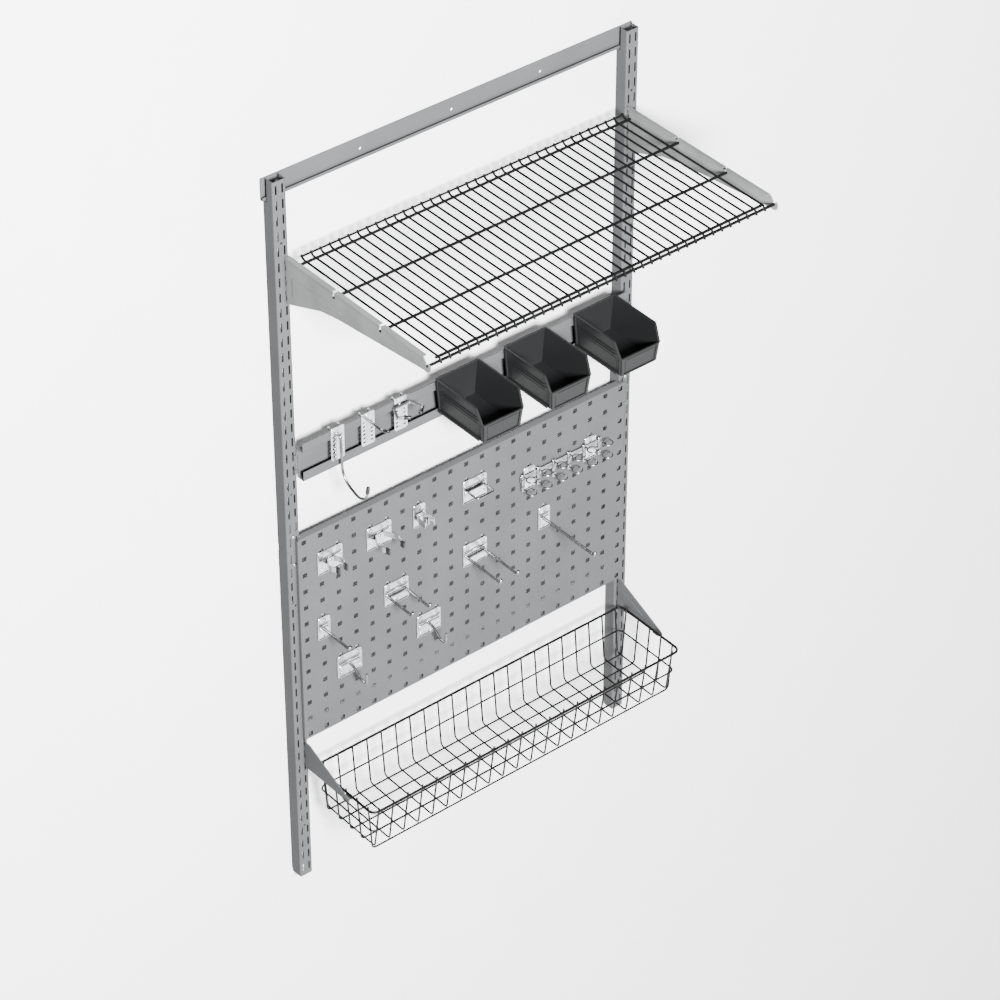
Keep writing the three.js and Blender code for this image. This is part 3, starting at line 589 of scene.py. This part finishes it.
def bin_look(node):
    low, high = span(node)
    c = (low.x + high.x) / 2
    back, top = -49.4, high.z
    bottom = top - BIN_HEIGHT
    wall = 2.0
    rim_x = (high.x - low.x) / 2
    foot = rim_x - 9.5
    gate = bottom + 42

    def side_x(z):
        """Half width of the outer wall at a height."""
        return foot + (rim_x - 2.5 - foot) * (z - bottom) / (top - bottom)

    def front_y(z):
        return back - 131.0 - 4.0 * (z - bottom) / 42

    piece = Piece()
    mouth = [(back, top), (back - 120, top), (front_y(gate) - 0.2, gate)]
    side_outline = rounded(mouth + [(front_y(bottom), bottom), (back, bottom)], [0, 5, 3, 4, 3], 3)
    for side in (-1, 1):

        def lean(v, side=side):
            return Vector((c + side * (side_x(v.z) - v.x), v.y, v.z))

        piece.plate(side_outline, 0, wall, "YZ", bevel=0.4, warp=lean)
        inner_line = rounded([(back - 3, top - 1.2), (back - 119, top - 1.2), (front_y(gate), gate - 1)], 4, 4, False)
        piece.plate(sheet_outline(inner_line, 2.4, 0), -2.5, 1.5, "YZ", bevel=0.6, warp=lean)
        for z0, z1, reach in ((bottom + 50.5, bottom + 53, 118), (bottom + 44, bottom + 46.5, 121)):
            bar = rounded([(back - 14, z0), (back - reach, z0), (back - reach + 2, z1), (back - 14, z1)], 0.8, 2)
            piece.plate(bar, -1.9, 0.5, "YZ", bevel=0.6, warp=lean)
        front = front_y(bottom)
        ledge = rounded(rectangle(back - 3, front + 9, bottom + 0.2, bottom + 5), 1.2, 2)
        piece.plate(ledge, -4.2, 1.0, "YZ", bevel=0.8, warp=lean)
        panel = [(back - 16, bottom + 10), (front + 14, bottom + 10)]
        panel += [(front + 12, bottom + 39), (back - 16, bottom + 39)]
        panel = rounded(panel, 2.5, 3)
        piece.plate(panel, -0.8, 0.4, "YZ", bevel=0.4, warp=lean)
        post = [(front + 5, bottom + 2), (front + 1, bottom + 2)]
        post += [(front_y(gate) + 1, gate - 2), (front_y(gate) + 5, gate - 2)]
        post = rounded(post, 1, 2)
        piece.plate(post, -2.2, 0.5, "YZ", bevel=0.7, warp=lean)
        heel = rectangle(back - 8, back - 3, bottom + 6, top - 4, 1.5)
        piece.plate(heel, -2.0, 0.5, "YZ", bevel=0.7, warp=lean)

    def slope(v):
        return Vector((c + v.x * side_x(v.z) / rim_x, front_y(v.z) + v.y, v.z))

    piece.plate(rectangle(-rim_x, rim_x, bottom + 0.3, gate, 1.5), 0, wall, "XZ", bevel=0.4, warp=slope)
    piece.plate(rectangle(-rim_x, rim_x, gate - 2.6, gate + 0.3, 0.8), -2.4, 1.0, "XZ", bevel=0.7, warp=slope)
    piece.plate(rectangle(-rim_x + 12, rim_x - 12, bottom + 6, gate - 7, 2), -0.9, 0.5, "XZ", bevel=0.5, warp=slope)
    sill = rectangle(-rim_x + 4, rim_x - 4, bottom + 0.4, bottom + 3.4, 0.8)
    piece.plate(sill, -2.2, 0.5, "XZ", bevel=0.6, warp=slope)
    for side in (-1, 1):
        corner = rectangle(*sorted((side * (rim_x - 7.5), side * (rim_x - 0.4))), bottom + 1, gate - 1, 1)
        piece.plate(corner, -2.2, 0.5, "XZ", bevel=0.7, warp=slope)

    def taper(v):
        return Vector((c + v.x * side_x(v.z) / rim_x, v.y, v.z))

    piece.plate(rectangle(-rim_x, rim_x, bottom, top, 1.0), back - wall, back, "XZ", bevel=0.4, warp=taper)
    floor_outline = rectangle(c - foot, c + foot, front_y(bottom) + 0.5, back - 0.5, 3)
    piece.plate(floor_outline, bottom, bottom + wall, "XY", bevel=0.5)
    lip_top = span("bin_rail")[1].z + 0.4
    lip = [(back - 1, lip_top + 1.1), (-45.85, lip_top + 1.1), (-45.85, lip_top - 9.5)]
    piece.plate(sheet_outline(lip, 1.7, 1.2), c - 42, c + 42, "YZ", bevel=0.4)
    piece.plate(rectangle(c - rim_x + 3, c + rim_x - 3, back - 4.2, back, 1), top - 2.6, top, "XY", bevel=0.7)
    piece.finish(node, bin_plastic)


# Hooks on the bin rail


def rail_plate(node):
    low, high = span(node)
    x = (low.x + high.x) / 2
    front, back = low.y, low.y + 1.6
    body_top = span("bin_rail")[1].z + 5
    half = (high.x - low.x) / 2
    slots = []
    for side in (-1, 1):
        for k in range(6):
            z = low.z + 9 + 8.6 * k
            slots.append(rectangle(*sorted((x + side * 5.6, x + side * 11.8)), z - 1.6, z + 1.6, 1.2, 3))
    piece = Piece()
    outline = rounded(rectangle(x - half, x + half, low.z, body_top), [4, 4, 3, 3], 4)
    piece.plate(outline, front, back, "XZ", slots, 0.25)
    piece.plate(rectangle(x - 3.2, x - 1.9, low.z + 4, body_top - 22, 0.6), front - 0.5, front + 0.4, "XZ")
    piece.plate(rectangle(x + 1.9, x + 3.2, low.z + 4, body_top - 22, 0.6), front - 0.5, front + 0.4, "XZ")
    collar = circle(x, span(node.replace("plate", "rod"))[1].z - 2.6, 5.2, 20)
    piece.plate(collar, front - 0.7, front + 0.4, "XZ", bevel=0.5)
    lip = span("bin_rail")[1].z
    for side in (-1, 1):
        a = x + side * 10.5
        line = [(front + 0.8, body_top - 6), (front + 0.8, lip + 1.4), (front + 14, lip + 1.4), (front + 14, lip - 5)]
        piece.plate(sheet_outline(line, 1.6, 1.4), a - 1.5, a + 1.5, "YZ")
    piece.finish(node, zinc)


def tip(piece, end, direction, rod, length):
    """Soft dipped cap, from below a rod's end to a rounded nose."""
    r = rod + 1.1
    body = length - r * 0.6
    profile = [(rod - 0.4, 0.2), (rod + 0.2, 0), (r - 0.2, 0.2), (r, 0.8), (r + 0.15, body * 0.6), (r, body)]
    for k in range(1, 5):
        a = math.pi / 2 * k / 4
        profile.append((max(r * math.cos(a), 0.05), body + r * 0.6 * math.sin(a)))
    along = Vector(direction).normalized()
    piece.lathe(profile, Vector(end) - along * (length - 2.5), along, 18)


def rail_hooks():
    root = span("rail_hook_1_plate")[0].y + 0.6
    for i in (1, 2, 3):
        rail_plate(f"rail_hook_{i}_plate")
    low, high = span("rail_hook_1_rod")
    x, z = (low.x + high.x) / 2, high.z - 2.6
    r = 2.6
    reach = span("rail_hook_1_plate")[0].y - 0.3
    points = [(x, root, z), (x, reach - 8, z), (x, reach - 12, z - 92), (x, reach - 60, z - 110)]
    points += [(x, reach - 82, z - 98), (x, reach - 87, z - 70)]
    piece = Piece()
    piece.tube(points, r, [0, 9, 42, 40, 34, 0], 14, arc=9)
    piece.finish("rail_hook_1_rod", zinc_wire)
    piece = Piece()
    tip(piece, points[-1], (0, -5, 28), r, 17)
    piece.finish("rail_hook_1_tip", vinyl)

    x = middle("rail_hook_2_rod").x
    points = [(x, root, z), (x, reach - 40, z), (x, reach - 60, z + 9)]
    piece = Piece()
    piece.tube(points, r, 12, 14, arc=6)
    piece.finish("rail_hook_2_rod", zinc_wire)
    piece = Piece()
    tip(piece, points[-1], (0, -20, 9), r, 15)
    piece.finish("rail_hook_2_tip", vinyl)

    x = middle("rail_hook_3_rod").x
    piece = Piece()
    line = [(x + side * a, reach - b, z) for side, a, b in (
        (-1, 12, 42), (-1, 30, 28), (-1, 18, 2.6), (1, 18, 2.6), (1, 30, 28), (1, 12, 42))]
    piece.tube(line, 2.8, 4, 12)
    piece.finish("rail_hook_3_rod", zinc)
    for name, side in (("left", -1), ("right", 1)):
        piece = Piece()
        tip(piece, (x + side * 12, reach - 42, z), (-side * 18, -14, 0), 2.8, 13)
        piece.finish(f"rail_hook_3_tip_{name}", vinyl)


# Wire shelf and its brackets


def shelf():
    front = span("upper_upright_left")[0].y
    bracket_top = span("shelf_bracket_left")[1].z

    def at(d):
        return front - d

    thin, thick = 2.15, 2.9
    wire_z = bracket_top - 7.7
    cross_z = wire_z - thin - thick + 0.35
    piece = Piece()
    crossings = []
    for d, z, reach, r in (
        (22, cross_z, 378, thick), (NOTCHES[0], cross_z, 393, thick), (NOTCHES[1], cross_z, 393, thick),
        (387, cross_z, 368, thick), (395.4, bracket_top - 15.1, 393, thick), (12.6, wire_z + 3.9, 368, 2.1),
    ):
        piece.tube([(-reach, at(d), z), (reach, at(d), z)], r, sides=12)
        crossings.append((d, z + r * 0.8))
    for i in range(SHELF_WIRES):
        x = (i - SHELF_WIRES // 2) * SHELF_PITCH
        points = [(x, at(11.5), wire_z + 7.6), (x, at(18.5), wire_z)]
        points += [(x, at(394), wire_z), (x, at(401), wire_z - 9.5)]
        piece.tube(points, thin, 5, 8, arc=3)
        for d, z in crossings[:4]:
            piece.weld((x, at(d), z), 2.3, (1.0, 0.9, 0.5))
    piece.finish("wire_shelf", wire_coat)


def shelf_bracket(side, name):
    node = f"shelf_bracket_{name}"
    front = span("upper_upright_left")[0].y
    top = span(node)[1].z
    x0, x1 = side * TAB_X - 1, side * TAB_X + 1

    def at(d):
        return front - d

    outline = [(at(0.4), top - 98), (at(0.4), top)]
    radii = [2, 0]
    for d in NOTCHES:
        key = []
        slot, r, centre = 1.8, 3.6, top - 10.8
        gap = math.asin(slot / r)
        for k in range(17):
            a = math.pi / 2 + gap + (2 * math.pi - 2 * gap) * k / 16
            key.append((at(d) - r * math.cos(a), centre + r * math.sin(a)))
        outline += [(at(d) + slot, top)] + key + [(at(d) - slot, top)]
        radii += [0.8] + [0] * 17 + [0.8]
    tail = [(385, 0), (391, -8), (392.6, -8.6), (392.4, -16.8), (397.8, -16.8), (398.6, -8.4), (403, -9.5)]
    tail += [(405, -15), (403, -24), (395, -27.5), (385, -27), (150, -52), (100, -61), (2, -98)]
    outline += [(at(d), top + h) for d, h in tail]
    radii += [3, 2, 1, 1.6, 1.6, 1.5, 3, 5, 6, 6, 8, 120, 60, 2]
    piece = Piece()
    piece.plate(rounded(outline, radii, 4), x0, x1, "YZ", bevel=0.3)
    inward = -side
    fold = x1 if side < 0 else x0
    for d0, d1 in ((1, 135.6), (141.6, 265), (271, 384)):
        line = [(fold - inward * 1, top - 6), (fold - inward * 1, top - 1), (fold + inward * 7, top - 1)]
        piece.plate(sheet_outline(line, 2, 2, 4), 0, d1 - d0, "XY", bevel=0.3,
                    warp=lambda v, d0=d0: Vector((v.x, at(d0) - v.z, v.y)))
    rib = [(at(d), top - drop) for d, drop in ((14, 84), (14, 28), (120, 27), (215, 31), (120, 45))]
    w0, w1 = sorted((fold - inward * 0.4, fold + inward * 1.3))
    piece.plate(rounded(rib, [5, 5, 20, 3, 30], 5), w0, w1, "YZ", bevel=0.8)
    outer = x0 if side < 0 else x1
    w0, w1 = sorted((outer + inward * 0.4, outer - inward * 0.9))
    outer_rib = [(at(d), top - drop) for d, drop in ((20, 76), (20, 34), (118, 33), (195, 34), (118, 42))]
    piece.plate(rounded(outer_rib, [4, 4, 20, 3, 30], 5), w0, w1, "YZ", bevel=0.6)
    for k in (5, 6, 7):
        slot_hook(piece, x0, x1, at(3), upper_slot(k))
    piece.finish(node, bracket_coat)


# Basket and its brackets


def basket():
    rim_z = span("wire_basket")[1].z - 5.2
    floor_z = rim_z - 102
    back, front = -48.6, -228.6
    thin, thick = 1.85, 2.7
    piece = Piece()

    def loop(reach, y0, y1, z, r, corner):
        piece.tube([(-reach, y0, z), (reach, y0, z), (reach, y1, z), (-reach, y1, z)], r, corner, 10, True, 6)

    loop(383, back, front, rim_z, thick, 14)
    loop(378.2, back - 5.6, front + 8.8, rim_z - 54, thin, 12)
    columns = [(i - 10.5) * BASKET_PITCH for i in range(BASKET_WIRES)]
    for x in columns:
        points = [(x, back - 3.4, rim_z + 5), (x, back - 13, floor_z)]
        points += [(x, front + 19, floor_z), (x, front + 3.4, rim_z + 5)]
        piece.tube(points, thin, 9, 8, arc=4)
        for y in (back - 1.9, front + 1.9):
            piece.weld((x, y, rim_z), 2.4, (0.8, 0.9, 1.0))
    for y in (-69.6, -106.6, -141.6, -175.6, -209.6):
        points = [(-380.2, y, rim_z + 5), (-372, y, floor_z - 2.6)]
        points += [(372, y, floor_z - 2.6), (380.2, y, rim_z + 5)]
        piece.tube(points, thin, 9, 8, arc=4)
        for x in columns:
            piece.weld((x, y, floor_z - 1.3), 1.9)
    piece.finish("wire_basket", wire_coat)


def basket_bracket(side, name):
    node = f"basket_bracket_{name}"
    front = span("lower_upright_left")[0].y
    x0, x1 = side * TAB_X - 1, side * TAB_X + 1

    def at(d):
        return front - d

    board_foot = span("pegboard_panel")[0].z
    root_low, root_high = board_foot - 70.5, board_foot - 8.5
    outline = [(at(0.4), root_high), (at(0.4), root_low), (at(134), root_low), (at(138), root_low + 3)]
    outline += [(at(138), root_low + 8), (at(18), root_high)]
    piece = Piece()
    window = rounded([(at(16), root_low + 12), (at(92), root_low + 12), (at(16), root_high - 18)], 3, 3)
    piece.plate(rounded(outline, [2, 2, 2, 3, 4, 14], 4), x0, x1, "YZ", bevel=0.3)
    fold = x1 if side < 0 else x0
    inward = -side
    w0, w1 = sorted((fold - inward * 0.4, fold + inward * 0.8))
    piece.plate(window, w0, w1, "YZ", bevel=0.5)
    shelf_z = root_low + 6.2
    for d0, d1 in ((22, 36), (119, 136)):
        u0, u1 = sorted((fold - inward * 1, fold + inward * 10))
        piece.plate(rectangle(u0, u1, at(d1), at(d0), 1.2), shelf_z - 2, shelf_z, "XY")
    for k in (14, 15):
        slot_hook(piece, x0, x1, at(3), lower_slot(k))
    piece.finish(node, powder)


# Hooks and clips on the pegboard


def hook_plate(node, bar=True):
    """Stamped plate: tabs through the holes, a slotted crease, embossed ovals and rolled edges."""
    low, high = span(node)
    x = (low.x + high.x) / 2
    half = (high.x - low.x) / 2
    columns, rows = hole_centres()
    hole = min(rows, key=lambda z: abs(z - (high.z - 8)))
    tabs = [c for c in columns if abs(c - x) < half]
    top, bottom = hole - 0.5, hole - 52.5
    front, back = low.y, low.y + 1.6
    piece = Piece()
    slots = [rectangle(x - half + 4.5, x + half - 4.5, top - 19.6, top - 17.8, 0.8, 2)]
    if half > 20:
        slots = []
        for side in (-1, 1):
            u = x + side * half / 2
            slots.append(rectangle(u - half / 2 + 4, u + half / 2 - 4, top - 19.8, top - 17.8, 0.8, 2))
        slots += [circle(x + side * (half - 7), bottom + 13, 1.6, 12) for side in (-1, 1)]
    slots.append(rectangle(x - 2.2, x + 2.2, bottom + 5, bottom + 7.4, 0.9, 2))
    outline = rounded(rectangle(x - half, x + half, bottom, top), [3, 3, 6, 6], 4)
    piece.plate(outline, front, back, "XZ", slots, bevel=0.35)
    for side in (-1, 1):
        edge = x + side * (half - 0.9)
        piece.tube([(edge, front + 0.4, bottom + 4), (edge, front + 0.4, top - 8)], 1.1, sides=10)
    piece.tube([(x - half + 3, front + 0.1, top - 15.6), (x + half - 3, front + 0.1, top - 15.6)], 1.2, sides=12)
    piece.tube([(x - half + 2.5, front, bottom + 1.6), (x + half - 2.5, front, bottom + 1.6)], 1.7, sides=12)
    for tab in tabs:
        ring = [(tab + 3.1 * math.cos(a), front, top - 7.5 + 4.6 * math.sin(a))
                for a in (2 * math.pi * i / 20 for i in range(20))]
        piece.tube(ring, 0.8, sides=8, closed=True)
        line = [(back - 0.6, hole - 3.6), (-34.3, hole - 3.6), (-34.3, hole + 8)]
        piece.plate(sheet_outline(line, 1.6, 1.0), tab - 2.6, tab + 2.6, "YZ", bevel=0.25)
        piece.plate(rectangle(tab - 2, tab + 2, hole - 42.5, hole - 40.5, 0.4), back - 0.5, high.y, "XZ", bevel=0.2)
    if bar:
        half_bar = min(half - 4, 25)
        strap = rounded(rectangle(x - half_bar, x + half_bar, top - 35.5, top - 23.5), 2, 3)
        piece.plate(strap, front - 1.6, front + 0.4, "XZ", bevel=0.8)
    piece.finish(node, zinc)


def strip(line, thickness, z0, z1, piece):
    piece.plate(sheet_outline(line, thickness, 0), z0, z1, "XY", bevel=0.25)


def spring_line(x, y, depth, belly, mouth, base):
    """Plan of a spring clip: base on the plate, and two arms that curve out and back to a mouth."""
    arm = [(0.0, 0.0), (base, 0.0)]
    for k in range(1, 15):
        t = k / 14
        out = base + (belly - base) * math.sin(min(t * 1.35, 1) * math.pi / 2)
        closing = (belly - mouth) * max(0, (t - 0.55) / 0.45) ** 1.5
        arm.append((out - closing, t * depth))
    return [(x - a, y - b) for a, b in reversed(arm)] + [(x + a, y - b) for a, b in arm[1:]]


def spring_clip(name, depth, belly, mouth, base):
    node = f"clip_{name}_spring"
    low, high = span(node)
    x = (low.x + high.x) / 2
    line = spring_line(x, high.y - 0.8, depth, belly, mouth, base)
    piece = Piece()
    strip(line, 1.4, low.z, high.z, piece)
    rivet = [(3.4, 0), (3.4, 0.6), (2.4, 1.5), (0.3, 1.9)]
    piece.lathe(rivet, (x, high.y - 1.4, (low.z + high.z) / 2), (0, -1, 0), 16)
    if name == "c":
        for side in (-1, 1):
            u = x + side * 2.6
            jaw = rounded(rectangle(u - 1.4, u + 1.4, low.y + 2, low.y + 13), 1.0, 3)
            piece.plate(jaw, low.z - 1, high.z + 1, "XY", bevel=0.6)
    piece.finish(node, zinc)


def clip_pad(node):
    low, high = span(node)
    piece = Piece()
    outline = rounded(rectangle(low.x - 0.4, high.x + 0.4, low.y - 1, high.y + 5), 1.9, 4)
    piece.plate(outline, low.z, high.z, "XY", bevel=1.0)
    piece.finish(node, vinyl)


def prong(node, xs, length, rise, radius):
    """Straight prongs with an upturned end, joined by a bar where there are two."""
    plate = span(node.replace("rod", "plate"))[0].y
    z = span(node)[0].z + min(radius, 2.5)
    piece = Piece()
    for x in xs:
        points = [(x, plate - 0.6, z), (x, plate - length + 3, z), (x, plate - length, z + rise)]
        piece.tube(points, radius, 3.5, 12, arc=5)
    if len(xs) > 1:
        piece.tube([(xs[0], plate - 2.3, z), (xs[1], plate - 2.3, z)], radius - 0.1, sides=12)
    piece.finish(node, zinc_wire)


def accessories():
    for node in ("clip_a_plate", "clip_b_plate", "clip_c_plate", "ring_bar_plate_left", "ring_bar_plate_right"):
        hook_plate(node, bar=False)
    for name in ("loop_d", "prong_f", "prong_g", "prong_h", "prong_i", "jay_j", "jay_k"):
        hook_plate(f"{name}_plate")
    spring_clip("a", 33, 17, 9, 8)
    spring_clip("b", 46, 24, 17, 10)
    spring_clip("c", 30, 11.5, 10.5, 8)
    for clip in ("a", "b"):
        for name in ("left", "right"):
            clip_pad(f"clip_{clip}_tip_{name}")
    for letter, length, rise in (("f", 104, 10), ("h", 76, 10)):
        x = middle(f"prong_{letter}_plate").x
        prong(f"prong_{letter}_rod", (x - 21, x + 21), length, rise, 2.9)
    for letter, length, rise in (("g", 152, 9), ("i", 80, 9)):
        prong(f"prong_{letter}_rod", (middle(f"prong_{letter}_plate").x,), length, rise, 3.2)
    for letter in ("j", "k"):
        node = f"jay_{letter}_rod"
        low, high = span(node)
        x, z = (low.x + high.x) / 2, high.z - 7
        plate = span(f"jay_{letter}_plate")[0].y
        points = [(x, plate - 0.4, z), (x, plate - 12, z - 2), (x, plate - 34, z - 19)]
        points += [(x, plate - 52, z - 19), (x, plate - 52, z + 7)]
        piece = Piece()
        piece.tube(points, 2.8, 9, 12, arc=6)
        piece.finish(node, zinc_wire)
    low, high = span("loop_d_rod")
    x, z, y = (low.x + high.x) / 2, (low.z + high.z) / 2, high.y - 2
    piece = Piece()
    loop = [(u, v, z) for u, v in rectangle(x - 20.5, x + 20.5, y, y - 30)]
    piece.tube(loop, 2.2, 5, 12, True, 5)
    piece.finish("loop_d_rod", zinc_wire)
    ring_bar()


def ring_bar():
    low, high = span("ring_bar")
    front = high.y
    z = high.z - 12
    first = low.x + 6
    piece = Piece()
    strap = rectangle(low.x, first + 5 * HOLE_PITCH + 6, z - 7, z + 7, 2)
    piece.plate(strap, front - 1.6, front, "XZ", bevel=0.4)
    for k in range(6):
        x = first + k * HOLE_PITCH
        piece.plate(rectangle(x - 4, x + 4, z - 30, z + 12, 2), front - 3, front - 1.2, "XZ", bevel=0.4)
        piece.lathe([(2.6, 0), (2.6, 0.5), (1.8, 1.2), (0.3, 1.5)], (x, front - 3, z), (0, -1, 0), 14)
        for rise in (6, -24):
            turns = 28
            ring = [(x + 6 + 10 * math.cos(a), front - 20 + 10 * math.sin(a), z + rise)
                    for a in (2 * math.pi * i / turns for i in range(turns))]
            piece.tube(ring, 1.5, sides=10, closed=True)
            piece.tube([(x, front - 2, z + rise), (x + 2, front - 11, z + rise)], 1.5, sides=10)
    piece.finish("ring_bar", zinc_wire)


hang_rail()
for end in ("left", "right"):
    upright(f"upper_upright_{end}", True)
    upright(f"lower_upright_{end}", False)
    for level in ("upper", "lower"):
        screw(f"splice_screw_{end}_{level}")
    splice = frame["nodes"][f"splice_{end}"]
    splice.data.materials.clear()
    splice.data.materials.append(powder)
pegboard()
bin_rail()
for number in (1, 2, 3):
    bin_look(f"bin_{number}")
rail_hooks()
shelf()
basket()
for end, sign in (("left", -1), ("right", 1)):
    shelf_bracket(sign, end)
    basket_bracket(sign, end)
accessories()


# Stage, lights and camera

REACH = 9.0  # this section is in metres
FLOOR_DROP = 2.2
WALL_GAP = 0.0003
AMBIENT = 0.24


def backdrop(name, corners):
    mesh = bpy.data.meshes.new(name)
    mesh.from_pydata(corners, [], [(0, 1, 2, 3)])
    item = bpy.data.objects.new(name, mesh)
    bpy.context.scene.collection.objects.link(item)
    return item


low_z = cad_low.z - FLOOR_DROP
floor = backdrop("studio_floor", [(u, v, low_z) for u, v in rectangle(-REACH, REACH, -REACH, REACH)])
floor.data.materials.append(surface("studio_paper", grey(0.86), grey(0.88), 0.0, (0.85, 0.95), 60, 0.02))
wall_y = cad_high.y + WALL_GAP
wall = backdrop("studio_wall", [(u, wall_y, v) for u, v in rectangle(-REACH, REACH, low_z, REACH)])
# The wall shows from the front only, so that the back of the object can be seen.
wall_paint = surface("wall_paint", grey(0.88), grey(0.9), 0.0, (0.85, 0.95), 60, 0.02)
nodes, links = wall_paint.node_tree.nodes, wall_paint.node_tree.links
clear = nodes.new("ShaderNodeBsdfTransparent")
one_sided = nodes.new("ShaderNodeMixShader")
links.new(nodes.new("ShaderNodeNewGeometry").outputs["Backfacing"], one_sided.inputs["Fac"])
links.new(nodes["Principled BSDF"].outputs["BSDF"], one_sided.inputs[1])
links.new(clear.outputs["BSDF"], one_sided.inputs[2])
links.new(one_sided.outputs["Shader"], nodes["Material Output"].inputs["Surface"])
wall.data.materials.append(wall_paint)
wall.visible_diffuse = False
wall.visible_glossy = False
wall.visible_shadow = False

world = bpy.data.worlds.new("studio")
bpy.context.scene.world = world
world.use_nodes = True
world.node_tree.nodes["Background"].inputs["Color"].default_value = (1, 1, 1, 1)
world.node_tree.nodes["Background"].inputs["Strength"].default_value = AMBIENT


def lamp(name, place, aim, size, power):
    light = bpy.data.lights.new(name, "AREA")
    light.shape = "RECTANGLE"
    light.size, light.size_y = size
    light.energy = power
    item = bpy.data.objects.new(name, light)
    item.location = place
    item.rotation_euler = (Vector(aim) - Vector(place)).to_track_quat("-Z", "Y").to_euler()
    bpy.context.scene.collection.objects.link(item)


heart = (cad_low + cad_high) / 2
lamp("key", heart + Vector((-1.8, -4.3, 2.5)), heart, (1.1, 1.1), 1950)
lamp("glint", heart + Vector((2.2, -2.7, -2.6)), heart, (1.6, 1.6), 27)
lamp("rear", heart + Vector((2.6, 4.8, 1.2)), heart, (3.0, 3.0), 260)

AZIMUTH, ELEVATION, DISTANCE, LENS = 39.27, 37.31, 7.481, 141.5
TARGET = Vector((0.0816, -0.0366, cad_low.z + 0.6899))
camera_data = bpy.data.cameras.new("camera")
camera_data.sensor_width = 36
camera_data.lens = LENS
camera_data.clip_end = 60
camera = bpy.data.objects.new("camera", camera_data)
turn, rise = math.radians(AZIMUTH), math.radians(ELEVATION)
back = Vector((-math.sin(turn) * math.cos(rise), -math.cos(turn) * math.cos(rise), math.sin(rise)))
camera.location = TARGET + back * DISTANCE
camera.rotation_euler = (-back).to_track_quat("-Z", "Y").to_euler()
bpy.context.scene.collection.objects.link(camera)
bpy.context.scene.camera = camera
